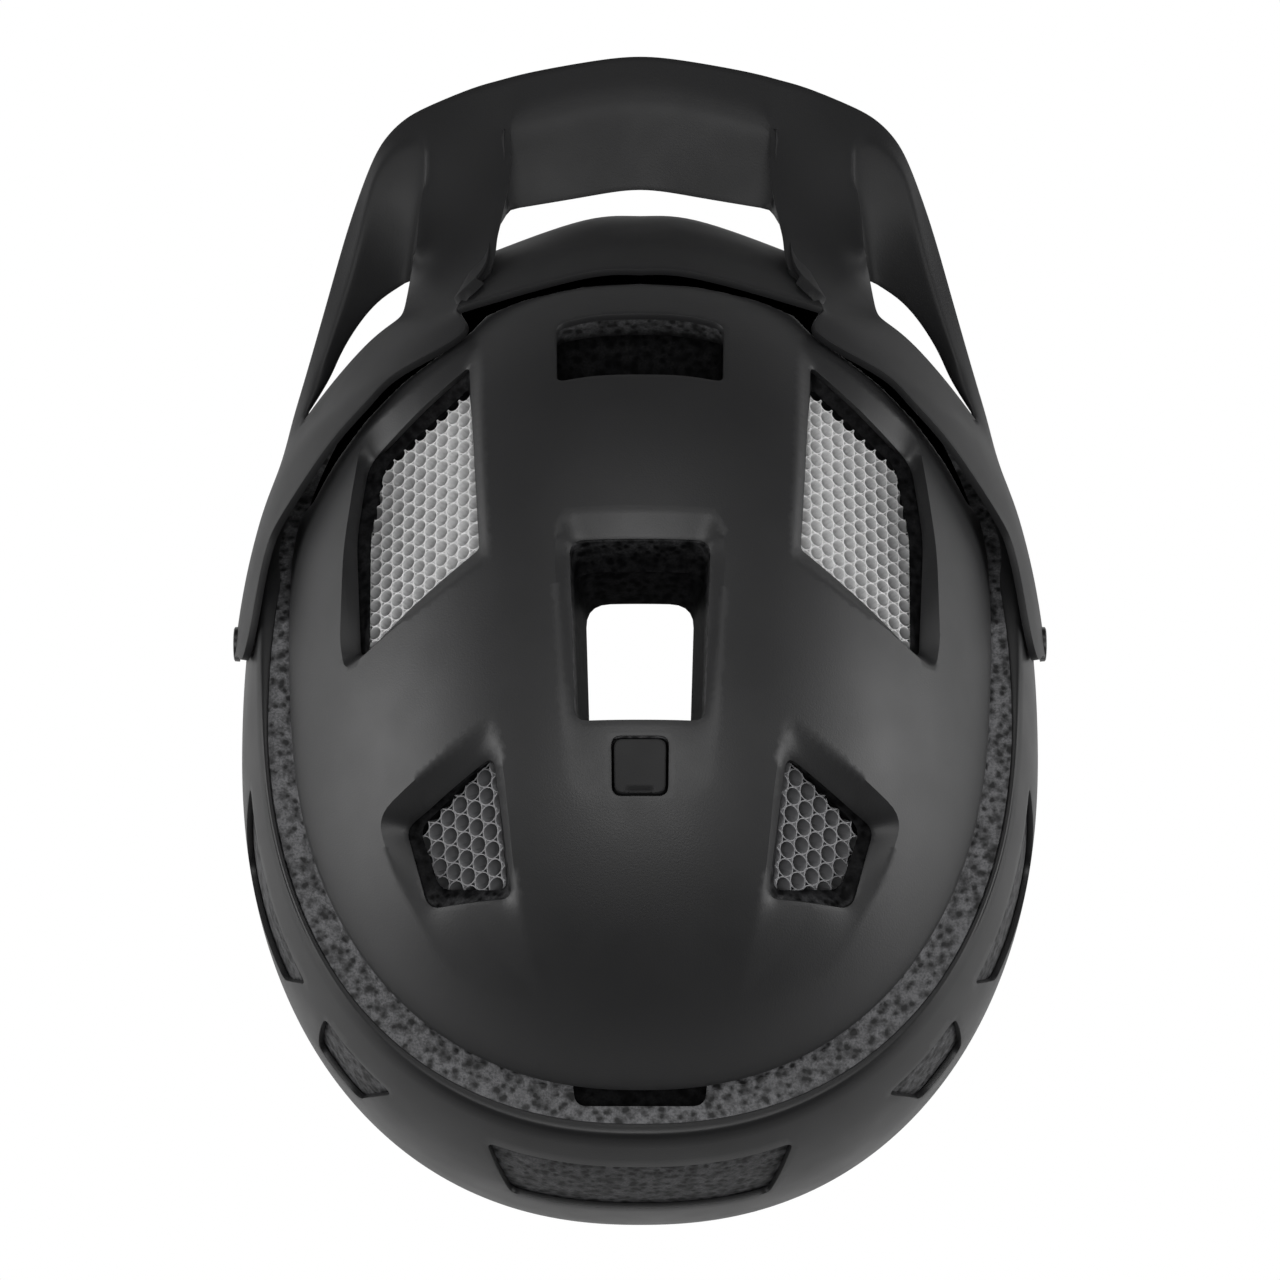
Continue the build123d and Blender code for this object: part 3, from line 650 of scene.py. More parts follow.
# %% Tube material
def tube_resin(name, dark, pale, bore_shade, through):
    """Thin cloudy plastic that scatters part of the light through its wall. Down the bore its colour turns to
    a darker painted shade, reached after the first few millimetres: the share is the way down to the power
    0.3."""
    material, tree, surface = new_material(name, Roughness=0.38)
    spot = add(tree, "ShaderNodeTexCoord").outputs["Object"]
    cloud = add(tree, "ShaderNodeTexNoise", {"Vector": spot, "Scale": 350.0, "Detail": 2.0})
    tint = add(tree, "ShaderNodeMix", {"Factor": cloud.outputs[0], 6: linear(dark), 7: linear(pale)},
               data_type="RGBA")
    # painted shade down the bore: the tone fades to the bore's darker colour with depth, and from 50 to 70 mm
    # out from the middle, at a vent's outer end, darker still to #6c6c6e
    down = add(tree, "ShaderNodeAttribute", attribute_name="down")
    fade = add(tree, "ShaderNodeMath", {0: down.outputs["Fac"], 1: 0.3}, operation="POWER")
    parts = add(tree, "ShaderNodeSeparateXYZ", {0: spot})
    across = add(tree, "ShaderNodeMath", {0: parts.outputs[0]}, operation="ABSOLUTE")
    outer = add(tree, "ShaderNodeMapRange", {"Value": across.outputs[0], "From Min": 0.05, "From Max": 0.07})
    bore = add(tree, "ShaderNodeMix", {"Factor": outer.outputs[0], 6: linear(bore_shade), 7: linear("#6c6c6e")},
               data_type="RGBA")
    tint = add(tree, "ShaderNodeMix", {"Factor": fade.outputs[0], 6: tint.outputs[2], 7: bore.outputs[2]},
               data_type="RGBA")
    tree.links.new(tint.outputs[2], surface.inputs["Base Color"])
    glow = add(tree, "ShaderNodeBsdfTranslucent", {"Color": tint.outputs[2]})
    both = add(tree, "ShaderNodeMixShader", {0: through, 1: surface.outputs[0], 2: glow.outputs[0]})
    tree.links.new(both.outputs[0], tree.nodes["Material Output"].inputs["Surface"])
    return material


clear_tubes = tube_resin("Welded tube plastic, clear", "#e4e4e4", "#ffffff", "#c4c4c4", 0.4)
# the rear blocks' plastic: the same as the front's, painted darker because they face away from the light, a
# painted shade
shaded_tubes = tube_resin("Welded tube plastic, shaded copy", "#909092", "#a6a6a8", "#7c7c7e", 0.3)

# %% Tube blocks
PITCH, BORE, LONG, SET_IN, EDGE_SINK = 4.35, 4.0, 12.0, 0.4, 3.2


def tube_block(which, edge, side, lean, squeeze, resin):
    """Cells on a hex lattice with columns along y, on the block's slope and with bores square to it, so in
    plan the lattice is squeezed. What lies outside the outline sinks under the foam's rim."""
    low, high = edge.min(0), edge.max(0)
    column = PITCH * 0.866
    i, j = np.meshgrid(np.arange(int((high[0] - low[0]) / column) + 8),
                       np.arange(-8, int((high[1] - low[1]) / PITCH) + 8), indexing="ij")
    x = low[0] + (i - 3) * column
    y = low[1] + (j + (i % 2) / 2) * PITCH
    spots = np.stack([x, y], -1).reshape(-1, 2)
    middle = edge.mean(0)
    c, s = math.cos(lean), math.sin(lean)
    spots = (spots - middle) @ np.array([[c, s], [-s, c]]) * squeeze + middle
    spots = spots[inside(edge, spots) | (gap(edge, spots) < 2.6)]
    around = np.radians(np.arange(0, 360, 30.0))
    hexagon = PITCH / 2 / np.cos((around + math.pi / 6 + lean) % (math.pi / 3) - math.pi / 6)
    ring = np.stack([np.cos(around), np.sin(around)], 1)
    outer_ring, bore_ring = ring * hexagon[:, None], ring * (BORE / 2)
    rows, count = [], len(around)
    way = np.array(COMB_TOP[which][1])
    for loop, drop in ((outer_ring, 0), (bore_ring, 0), (bore_ring, LONG), (outer_ring, LONG)):
        xy = (spots[:, None] + loop * squeeze).reshape(-1, 2)
        hidden = np.clip(gap(edge, xy) / 0.6, 0, 1) * ~inside(edge, xy)
        z = comb_level(xy, which) - SET_IN - EDGE_SINK * hidden
        rows.append(np.column_stack([xy, z]) - way * drop)
    points = np.concatenate(rows)
    n = len(spots) * count
    base = np.arange(n).reshape(-1, count)
    turned = np.roll(base, -1, 1)
    quads = [np.stack([base + k * n, turned + k * n, turned + (k + 1) * n, base + (k + 1) * n], -1)
             for k in range(3)]
    faces = np.concatenate(quads).reshape(-1, 4)
    if side < 0:
        points, faces = points * (-1, 1, 1), faces[:, ::-1]
    where = "left" if side > 0 else "right"
    block = put(f"tubes_{which}_{where}", points, [faces[:, ::-1]], resin, "helmet",
                [f"honeycomb_{which}_{where}"], angle=30)
    keep_value(block, "down", np.repeat([0, 0, 1, 1.0], n))


for side in (1, -1):
    tube_block("front", FRONT_COMB, side, math.radians(1), (0.8, 0.97), clear_tubes)
    tube_block("rear", REAR_COMB, side, math.radians(7), (0.94, 1.0), shaded_tubes)

# %% [markdown]
# ## Lower shell
# The lower shell wraps the sides and nape. Its wall is unrolled by angle round the helmet and by height
# between rim and lip, the windows are drawn on that strip, and the net is rolled back onto the dome. At the
# top the wall turns inwards into a rounded lip that holds the foam's ledge, and at the bottom it tucks under.

# %% Lower shell
WIDE, TALL = 110.0, 70.0
LOWER_WALL, LOWER_ROUND = 1.6, 0.35


def on_wall(turn, y, z):
    """A spot on the unrolled wall: its turn times WIDE, and its share of the height from rim to lip times
    TALL."""
    return np.stack([turn * WIDE, (z - along(RIM, y)) / (along(LIP, y) - along(RIM, y)) * TALL], 1)


def wall_spot(yz, side):
    """Where a point of a side view lies on the unrolled wall."""
    y, z = np.array(yz, float).T
    out = np.sqrt(1 - ((z - WIDEST) / LOWER[3]) ** 2)
    b = (y - MID_Y) / (np.where(y > MID_Y, LOWER[2], LOWER[1]) * out)
    turn = np.arctan2(b, other(b))
    return on_wall(turn if side > 0 else math.pi - turn, y, z)


def back_spot(xz):
    """The same for a point of the rear view."""
    x, z = np.array(xz, float).T
    out = np.sqrt(1 - ((z - WIDEST) / LOWER[3]) ** 2)
    a = x / (LOWER[0] * out)
    b = other(a)
    return on_wall(np.arctan2(b, a), MID_Y + LOWER[2] * out * b, z)


def round_off(corners, radius):
    """A window's outline alone, in steps of 2 mm."""
    return outline(corners, radius, step=2.0)[0]


SIDE_WINDOW = round_off([(32, 43), (88, 44), (82, 24), (48, 15)], [3, 3, 3, 5])
CORNER_WINDOW = round_off([(97, 43), (118, 42), (114, 18), (100, 20)], 3)
REAR_WINDOW = round_off([(-41, 45), (41, 45), (35, 15), (-35, 15)], 3)
windows = [back_spot(REAR_WINDOW)]
for side in (1, -1):
    windows += [wall_spot(SIDE_WINDOW, side), wall_spot(CORNER_WINDOW, side)]
low_turn, high_turn = -math.pi / 2, 1.5 * math.pi
edge_turns = np.linspace(low_turn, high_turn, 361)
ROUND = len(edge_turns)
foot = np.stack([edge_turns * WIDE, 0 * edge_turns], 1)
head = np.stack([edge_turns[::-1] * WIDE, 0 * edge_turns + TALL], 1)
side_rise = np.linspace(0, TALL, 40)[1:-1]
seam = len(side_rise)
frame_line = np.concatenate([foot, np.stack([np.full(seam, high_turn * WIDE), side_rise], 1), head,
                             np.stack([np.full(seam, low_turn * WIDE), side_rise[::-1]], 1)])
net, triangles, lines = fill(frame_line, windows, [], 1.9)


def share_level(share, top_lift=0.0):
    """Height at a share of the way from rim to lip."""
    return lambda y: along(RIM, y) * (1 - share) + (along(LIP, y) + top_lift) * share


turn = net[:, 0] / WIDE
wall_points = on_dome(LOWER, turn, share_level(net[:, 1] / TALL, -1.2))
foot_row, head_row = lines[0][:ROUND], lines[0][ROUND + seam:ROUND + seam + ROUND][::-1]
parts, faces = [wall_points], [triangles]
total = len(wall_points)
last = head_row
LIP_IN = np.array([101.2, 139.0, 118.7])
lip_out = on_dome(LOWER, edge_turns, share_level(1.0, 0.0))
c, s = np.cos(edge_turns), np.sin(edge_turns)
k = stretch(c, s)
lip_in = np.stack([LIP_IN[0] * k * c, MID_Y + np.where(s > 0, LIP_IN[2], LIP_IN[1]) * k * s], 1)
for share, drop in ((0.04, 0.62), (0.16, 0.2), (0.35, 0.0), (0.8, 0.0), (0.94, 0.16), (1.0, 0.6), (1.0, 2.6)):
    xy = lip_out[:, :2] + (lip_in - lip_out[:, :2]) * share
    parts.append(np.column_stack([xy, along(LIP, lip_out[:, 1]) - drop]))
    row = np.arange(total, total + ROUND)
    faces.append(strip(last, row, closed=False))
    last, total = row, total + ROUND
last = foot_row
foot_points = wall_points[foot_row]
middle_line = np.column_stack([foot_points[:, :2] * 0.0 + MIDDLE, foot_points[:, 2]])
for inward, drop in ((0.004, 0.5), (0.012, 0.85), (0.026, 0.9)):
    parts.append(foot_points + (middle_line - foot_points) * inward - (0, 0, drop))
    row = np.arange(total, total + ROUND)
    faces.append(strip(row, last, closed=False))
    last, total = row, total + ROUND
lower = put("lower_shell_skin", np.concatenate(parts), faces, lip_black, "helmet",
            ["lower_shell"], angle=40, weld=True)
wall(lower, LOWER_WALL, LOWER_ROUND)

# %% [markdown]
# ## Camera mount plug
# A rounded square plug closes the hole for a camera mount behind the centre vent. Its top follows the crown,
# a hair lower, and a small notch at its rear edge takes a fingernail. It is one closed body, so it can be
# pulled out.

# %% Camera mount plug
NICK, _ = outline([(3.4, 55.4), (-3.4, 55.4), (-2.4, 57.6), (2.4, 57.6)], 0.5, step=0.8)
PLUG_FOOT, PLUG_MIDDLE, PLUG_BELOW, NICK_DEEP = 108.3, (0, 50), 0.25, 0.7


def plug_row(share, drop):
    """The plug's side outline shrunk to a share, drop mm below its top, or at its flat foot."""
    xy = (PLUG_SIDE - PLUG_MIDDLE) * share + PLUG_MIDDLE
    return np.column_stack([xy, PLUG_FOOT + 0 * xy[:, 0] if drop is None else plug_top(xy) - drop])


def plug_top(xy):
    """A hair below the crown."""
    return height(CROWN, xy) - sink(xy) - PLUG_BELOW


rows = [plug_row(*row) for row in ((0.93, 0.0), (0.975, 0.08), (1.0, 0.5), (1.0, None), (0.0, None))]
net, triangles, lines = fill(rows[0][:, :2], [], [], 0.7)
cut = np.clip(1 - gap(NICK, net) / 0.35, 0, 1) * ~inside(NICK, net) + inside(NICK, net)
points = [np.column_stack([net, plug_top(net) - NICK_DEEP * cut]), *rows[1:]]
faces, total, last = [triangles], len(net), lines[0]
for row in rows[1:]:
    numbers = np.arange(total, total + len(row))
    faces.append(strip(last, numbers)[:, ::-1])
    last, total = numbers, total + len(row)
put("plug_cap", np.concatenate(points), faces, plug_black, "plug",
    ["camera_mount_plug"], angle=40, weld=True)

# %% [markdown]
# ## Visor
# The visor is one moulding: a brim that scoops down into a centre ramp and two side ramps, two raised struts,
# a band across the brow and a wing down each side to its pivot. Moulded parts flow like this from a few
# curves, so a coarse cage of quads is set out for one half, mirrored, and smoothed by subdivision. Creases
# hold the ridges and the feet of the walls. The cage is first pushed out, so that the smooth surface passes
# through the listed points and doesn't shrink inside them.

# %% Visor cage
VISOR = np.array([114.5, 151.5, 136.0, 111.0, 160.0])
VISOR_WALL, VISOR_ROUND = 2.0, 0.5
cage = dict(
    # brim edge, and the line where the ramps, struts and rail start
    q0=(0, -181.9, 48.8), q1=(14.2, -180.5, 48.6), q2=(30.7, -177.6, 47.8), q3=(39.7, -175.4, 47.2),
    q4=(47.7, -173, 46.8), q5=(59, -168.4, 45.9), qa=(66.9, -164, 45.2), q6=(72.8, -157.7, 44.4),
    q7=(76.7, -149.9, 43.4), qb=(80, -140.4, 42.6), q8=(83.6, -128.4, 41.5), q9=(88.2, -111.1, 39.5),
    q10=(93.1, -93.3, 36.5), qc=(95.6, -84.5, 35), q11=(98, -75.8, 33.5),
    k0=(0, -167.9, 50.6), k1=(14.7, -166.5, 50.4), k2=(34.2, -160.4, 50.2), k3=(37.5, -155.4, 51.2),
    k4=(48, -154.9, 51), k5=(58.7, -154, 50.2), ka=(61.6, -153.6, 49), k6=(67.8, -153, 48.2),
    k7=(74, -148.1, 47), kb=(76.5, -138, 45.6), k8=(78.9, -125.9, 44), k9=(83.3, -109.6, 41),
    k10=(89.7, -90, 39.6), kc=(91.8, -82.4, 40.6), k11=(93.9, -74.3, 42),
    # centre ramp, and the foot of the wall beside it
    b0=(0, -155.7, 45.5), b1=(15.3, -154.2, 45.5), b2=(35.5, -147.3, 46),
    c0=(0, -144.6, 40), c1=(15.9, -142.4, 40), c2=(34.5, -136.6, 40.8),
    # strut: inner ridge, middle, outer ridge
    s1=(38.2, -141.9, 54.5), s2=(39.7, -130.3, 57.5), s3=(41.6, -119.2, 62), s4=(42.5, -105.7, 73.4),
    s5=(43.1, -92, 84.8), t1=(48.3, -141.5, 54), t2=(50.1, -129.2, 56.5), t3=(52.3, -116, 61),
    o1=(59.1, -142.5, 51.5), o2=(60.5, -130.3, 53.2), o3=(62.8, -115.7, 56.5), o4=(65.1, -104.5, 57),
    # side ramp: foot of the outer wall, middle, and the edge of the side gap
    u1=(60.2, -142.3, 47.6), u2=(61.8, -130.9, 43.5), u3=(64, -118.8, 38.8), m1=(68.2, -140.6, 46.2),
    m2=(70.7, -127.3, 41.8), m3=(74.2, -111.5, 36.8), e4=(83.6, -97.6, 36.2), e5=(88, -87.5, 36.2),
    # brow band between the struts
    x0=(0, -135.8, 42), x1=(16, -134.5, 42), w3=(38.1, -128.2, 42), y0=(0, -116.5, 70.7),
    y1=(15.7, -114.6, 71.8), w4=(40.6, -107.8, 70.5), z0=(0, -102.8, 84.2), z1=(15.8, -101.6, 84.3),
    # where the strut runs into the wing
    g4=(53.5, -102.5, 69.6), g5=(55.8, -90.3, 78.8), g6=(62.3, -83.9, 78.8), g7=(75, -74.9, 73.2),
    h6=(48.6, -82.2, 88.5), h7=(64.7, -74, 83.3), f5=(67.2, -96, 63.8), f6=(75.1, -91.1, 59.2),
    f7=(87.2, -79.3, 52.2), ha=(73.9, -66.9, 79.1), ga=(82.6, -69.3, 67.3))
blocks = ["q0 q1 q2 q3 q4 q5 qa q6 q7 qb q8 q9 q10 qc q11/k0 k1 k2 k3 k4 k5 ka k6 k7 kb k8 k9 k10 kc k11",
          "k0 k1 k2/b0 b1 b2/c0 c1 c2", "k2 k3/b2 s1/c2 s2/w3 s3/w4 s4/s5 s5",
          "x0 x1 w3/y0 y1 w4/z0 z1 s5",
          "k3 k4 k5/s1 t1 o1/s2 t2 o2/s3 t3 o3/s4 g4 o4/s5 g5 f5/h6 g6 f6/h7 g7 f7/ha ga k11",
          "k5 ka k6 k7/o1 u1 m1 kb/o2 u2 m2 k8/o3 u3 m3 k9", "m3 k9/e4 k10/e5 kc/k11 k11"]
creases = {"s1 s2 s3 s4 s5": 0.75, "o1 o2 o3": 0.7, "k2 b2 c2 w3 w4 s5": 0.6, "k7 kb k8 k9 k10": 0.5,
           "k0 k1 k2 k3": 0.3, "k5 o1": 0.3, "k3 s1": 0.5, "ka k6 k7": 0.25}

# wing rows: upper edge in plan and lower edge by y and height, joined by turn and level over the dome
upper = np.array([(82.9, -58.3), (92.1, -47.6), (98.8, -39.8), (102.3, -34.1), (104.7, -24.3), (106.6, -13),
                  (109.2, -4.2)])
foot_y = np.array([-66.0, -55, -44.5, -34, -23, -14.5, -10.5])
foot_z = np.array([29.5, 26.0, 24.8, 23.6, 22.6, 22.2, 24.5])


def turn_of(xy):
    """The angle round the dome, measured on its outline stretched to a unit superellipse."""
    long = np.where(xy[:, 1] > MID_Y, VISOR[2], VISOR[1])
    return np.arctan2((xy[:, 1] - MID_Y) / long, xy[:, 0] / VISOR[0])


high_z = height(VISOR, upper)
high_turn_row = turn_of(upper)
out = np.sqrt(1 - ((foot_z - WIDEST) / VISOR[3]) ** 2)
b = (foot_y - MID_Y) / VISOR[1] / out
low_turn_row = np.arctan2(b, other(b))
rows = ["ha ga k11 q11"]
for i in range(len(upper)):
    names = [f"wing{i}_{j}" for j in range(4)]
    for name, share in zip(names, (0, 0.36, 0.72, 1)):
        turn = high_turn_row[i] * (1 - share) + low_turn_row[i] * share
        level = high_z[i] * (1 - share) + foot_z[i] * share
        cage[name] = tuple(on_dome(VISOR, np.array([turn]), lambda y: level + 0 * y)[0])
    rows.append(" ".join(names))
blocks.append("/".join(rows))

names = list(cage)
half = np.array([cage[n] for n in names], float)
number = {n: i for i, n in enumerate(names)}
quads = []
for block in blocks:
    table = np.array([[number[n] for n in row.split()] for row in block.split("/")])
    four = [table[:-1, :-1], table[:-1, 1:], table[1:, 1:], table[1:, :-1]]
    quads.append(np.stack(four, -1).reshape(-1, 4))
quads = np.concatenate(quads)
middle = half[:, 0] == 0
twin = np.where(middle, np.arange(len(half)), len(half) + np.cumsum(~middle) - 1)
target = np.concatenate([half, half[~middle] * (-1, 1, 1)])
quads = np.concatenate([quads, twin[quads][:, [1, 0, 3, 2]]])
print("visor cage:", len(target), "points,", len(quads), "quads")


def push_out(target, quads, turns=12):
    """Moves the cage until its smooth limit meets target: the limit of a point with n quads is
    (n^2 p + 4 edges + corners across) / (n (n + 5)), and (before + 4 p + after) / 6 on an open edge. Away
    from the open edge each turn moves less than the last, which keeps the surface free of ripples."""
    edges = np.sort(np.concatenate([quads[:, [k, (k + 1) % 4]] for k in range(4)]), 1)
    pairs, times = np.unique(edges[edges[:, 0] != edges[:, 1]], axis=0, return_counts=True)
    rim = pairs[times == 1]
    on_rim = np.zeros(len(target), bool)
    on_rim[rim] = True
    valence = np.bincount(quads.ravel(), minlength=len(target))[:, None]
    points = target.copy()
    for turn in range(turns):
        beside, across, along_rim = (np.zeros_like(points) for _ in range(3))
        np.add.at(beside, pairs[:, 0], points[pairs[:, 1]])
        np.add.at(beside, pairs[:, 1], points[pairs[:, 0]])
        for k in range(4):
            np.add.at(across, quads[:, k], points[quads[:, (k + 2) % 4]])
        np.add.at(along_rim, rim[:, 0], points[rim[:, 1]])
        np.add.at(along_rim, rim[:, 1], points[rim[:, 0]])
        limit = (valence ** 2 * points + 4 * beside + across) / (valence * (valence + 5))
        limit[on_rim] = ((along_rim + 4 * points) / 6)[on_rim]
        points += np.where(on_rim[:, None], 0.8, 0.8 * 0.6 ** turn) * (target - limit)
    return points


# %% Visor
pinched = quads[:, 2] == quads[:, 3]
visor = put("visor_moulding", push_out(target, quads), [quads[~pinched], quads[pinched][:, :3]], visor_black,
            "visor", ["visor"], angle=180)
hold = visor.data.attributes.new("crease_edge", "FLOAT", "EDGE")
ends = np.empty(2 * len(visor.data.edges), int)
visor.data.edges.foreach_get("vertices", ends)
at = {tuple(sorted(pair)): i for i, pair in enumerate(ends.reshape(-1, 2).tolist())}
for line, value in creases.items():
    line = [number[n] for n in line.split()]
    for a, b in zip(line[:-1], line[1:]):
        for p, q in ((a, b), (int(twin[a]), int(twin[b]))):
            hold.data[at[tuple(sorted((p, q)))]].value = value
smooth = visor.modifiers.new("Smooth", "SUBSURF")
smooth.levels = smooth.render_levels = 3
wall(visor, VISOR_WALL, VISOR_ROUND)

# %% [markdown]
# ## Pads
# Under the liner sit soft pads: open foam welded between a brushed knit and a backing. The weld leaves a thin
# flat flange round each pad, with a groove inside it, and from there the pad swells to its full height. Seams
# across a long pad let it bend. Each pad is one closed body: a net filled in a flat outline, laid twice
# against the liner, once at its back and once at the height that the distance to flange and seams gives.

# %% Knit and webbing materials
def wave(tree, value, period):
    """sin(2 pi value / period), from 0 to 1."""
    turns = add(tree, "ShaderNodeMath", {0: value, 1: 2 * math.pi / period}, operation="MULTIPLY")
    crest = add(tree, "ShaderNodeMath", {0: turns.outputs[0]}, operation="SINE")
    return add(tree, "ShaderNodeMapRange", {"Value": crest.outputs[0], "From Min": -1.0}).outputs[0]


def textile(name, dark, pale, pattern, roughness, sheen, bump):
    """A cloth whose pattern is drawn in the piece's own flat millimetres, kept in the cloth attribute."""
    material, tree, surface = new_material(name, **{"Roughness": roughness, "Sheen Weight": sheen,
                                                    "Sheen Roughness": 0.5})
    flat_mm = add(tree, "ShaderNodeAttribute", attribute_name="cloth")
    parts = add(tree, "ShaderNodeSeparateXYZ", {0: flat_mm.outputs["Vector"]})
    high = pattern(tree, parts.outputs[0], parts.outputs[1])
    fuzz = add(tree, "ShaderNodeTexNoise", {"Vector": flat_mm.outputs["Vector"], "Scale": 2.2, "Detail": 3.0})
    mixed = add(tree, "ShaderNodeMath", {0: high, 1: fuzz.outputs[0]}, operation="MULTIPLY")
    shade = add(tree, "ShaderNodeMix", {"Factor": mixed.outputs[0], 6: linear(dark), 7: linear(pale)},
                data_type="RGBA")
    tree.links.new(shade.outputs[2], surface.inputs["Base Color"])
    tree.links.new(add(tree, "ShaderNodeBump", {"Height": mixed.outputs[0], "Strength": bump,
                                                "Distance": 0.0003}).outputs[0], surface.inputs["Normal"])
    return material


def knit(tree, u, v):
    """Ribs 1.3 mm apart crossed by stitches of 0.9 mm, a little coarser than real ones so that they show."""
    ribs, stitches = wave(tree, u, 1.3), wave(tree, v, 0.9)
    return add(tree, "ShaderNodeMath", {0: ribs, 1: stitches, 2: 0.25}, operation="MULTIPLY_ADD").outputs[0]


def herringbone(tree, u, v):
    """Twill lines 1.5 mm apart that turn back every 2.6 mm across the strap."""
    back = add(tree, "ShaderNodeMath", {0: v, 1: 2.6}, operation="PINGPONG")
    slant = add(tree, "ShaderNodeMath", {0: u, 1: back.outputs[0]}, operation="ADD")
    return wave(tree, slant.outputs[0], 1.5)


pad_knit = textile("Brushed pad knit", "#141416", "#3c3c40", knit, 0.9, 0.3, 0.5)
strap_weave = textile("Woven polyester webbing", "#151516", "#38383b", herringbone, 0.62, 0.12, 0.7)
print("textiles ready")


# %% Pads
def against_liner(way, xy, inset):
    """Points on the hollow's dome, shrunk by inset, over a top, front or side view; nape pads lie flat."""
    dome = CAVITY - inset
    if way == "top":
        return np.column_stack([xy, height(dome, xy)])
    if way == "nape":
        return np.column_stack([xy[:, 0], np.full(len(xy), 90.2 - inset), xy[:, 1]])
    a, z = xy.T
    out = np.sqrt(1 - ((z - WIDEST) / np.where(z > WIDEST, dome[3], dome[4])) ** 2)
    if way == "front":
        return np.column_stack([a, MID_Y - dome[1] * out * other(a / dome[0] / out), z])
    long = np.where(a > MID_Y, dome[2], dome[1])
    return np.column_stack([dome[0] * out * other((a - MID_Y) / long / out), a, z])


def keep_cloth(piece, u, v):
    """Stores the flat millimetres of a cloth piece on its points."""
    flat_mm = piece.data.attributes.new("cloth", "FLOAT_VECTOR", "POINT")
    flat_mm.data.foreach_set("vector", np.column_stack([u, v, 0 * u]).astype(np.float32).ravel())


FLANGE, FLANGE_THICK, SWELL, GROOVE = 2.4, 1.0, 5.5, 0.35


def pad(name, way, corners, radius, seams, body, node, side=1, high=4.6):
    """A welded pad: a thin flange, a groove, then a rounded crown up to high mm over the flange."""
    edge, _ = outline(corners, radius, step=1.4)
    net, triangles, (rim,) = fill(edge, [], [], 1.4)
    off = gap(edge, net)
    grow = np.clip((off - FLANGE) / SWELL, 0, 1)
    swell = np.sqrt(1 - (1 - grow) ** 2)
    for seam in seams:
        beside = gap(np.array(seam, float), net, closed=False)
        swell = swell * (1 - 0.62 * np.exp(-(beside / 1.7) ** 2))
    thick = FLANGE_THICK + high * swell - GROOVE * np.exp(-((off - 2.2) / 0.45) ** 2)
    thick[rim] = 0.7
    back = against_liner(way, net, 0.3)
    step_in = against_liner(way, net, 1.3) - back
    step_in /= np.maximum(np.linalg.norm(step_in, axis=1), 1e-9)[:, None]
    front = back + step_in * thick[:, None]
    count = len(net)
    points = np.concatenate([front, back]) * (side, 1, 1)
    piece = put(name, points, [triangles, triangles[:, ::-1] + count, strip(rim, rim + count)], pad_knit,
                body, [node], angle=60, outward=True)
    keep_cloth(piece, np.tile(net[:, 0], 2), np.tile(net[:, 1], 2))


BROW = [(-56.5, 8), (-34, 4.6), (-12, 6.2), (12, 6.2), (34, 4.6), (56.5, 8), (56.5, 19), (34, 23.2),
        (12, 21.4), (-12, 21.4), (-34, 23.2), (-56.5, 19)]
pad("pad_brow", "front", BROW, 5, [[(-23, 4), (-23, 24)], [(23, 4), (23, 24)]], "helmet", "brow_pad")
pad("pad_crown_rear", "top", [(-10, 55), (10, 55), (8.6, 83.4), (-8.6, 83.4)], 6, [[(-11, 69), (11, 69)]],
    "helmet", "crown_pad_rear")
for side, where in ((1, "left"), (-1, "right")):
    pad(f"pad_crown_{where}", "top", [(22.8, -33), (35.5, -33), (37.4, 0), (36.5, 35), (24.5, 35), (22.8, 0)],
        5, [[(20, -10), (40, -10)], [(20, 13), (40, 13)]], "helmet", f"crown_pad_{where}", side)
    pad(f"pad_side_{where}", "side", [(-13, 9.5), (15, 8.4), (43, 10), (43, 22), (15, 23.6), (-13, 22.5)], 5,
        [[(6, 6), (6, 26)], [(25, 6), (25, 26)]], "helmet", f"side_pad_{where}", side)
pad("pad_nape", "nape", [(-16.5, -77), (16.5, -77), (15, -49), (-15, -49)], 7, [[(-18, -63), (18, -63)]],
    "cradle", "nape_pad", high=2.8)

# %% [markdown]
# ## Webbing
# The straps are flat woven polyester, 16 mm wide and 1.5 mm thick, with slightly thicker woven edges. From
# each side of the shell one comes from the front and one from the rear; they meet in a divider under the ear,
# and the chin strap runs on to the buckle. A section with rounded edges is swept along a smooth path, with
# its width kept near the front-to-rear direction, as webbing lies against a face. Its flat length and width
# stay on its points, so the weave follows the strap. Sewn ends are doubled and carry a box of stitches.

# %% Straps
ACROSS = np.array([-8, -7.75, -7.1, -6.3, -3, 0, 3, 6.3, 7.1, 7.75, 8.0])
THICK = np.array([0, 0.5, 0.78, 0.66, 0.66, 0.66, 0.66, 0.66, 0.78, 0.5, 0])


def smooth_path(points, step=1.2):
    """Catmull-Rom curve through the points, in even steps."""
    p = np.array(points, float)
    p = np.concatenate([[2 * p[0] - p[1]], p, [2 * p[-1] - p[-2]]])
    t = np.linspace(0, 1, 24, endpoint=False)[:, None]
    fine = [b + 0.5 * ((c - a) * t + (2 * a - 5 * b + 4 * c - d) * t ** 2 + (3 * b - a - 3 * c + d) * t ** 3)
            for a, b, c, d in zip(p[:-3], p[1:-2], p[2:-1], p[3:])]
    fine = np.concatenate([*fine, p[-2:-1]])
    far = np.concatenate([[0], np.cumsum(np.linalg.norm(np.diff(fine, axis=0), axis=1))])
    even = np.linspace(0, far[-1], max(3, int(far[-1] / step)))
    return np.stack([np.interp(even, far, fine[:, i]) for i in range(3)], 1), even


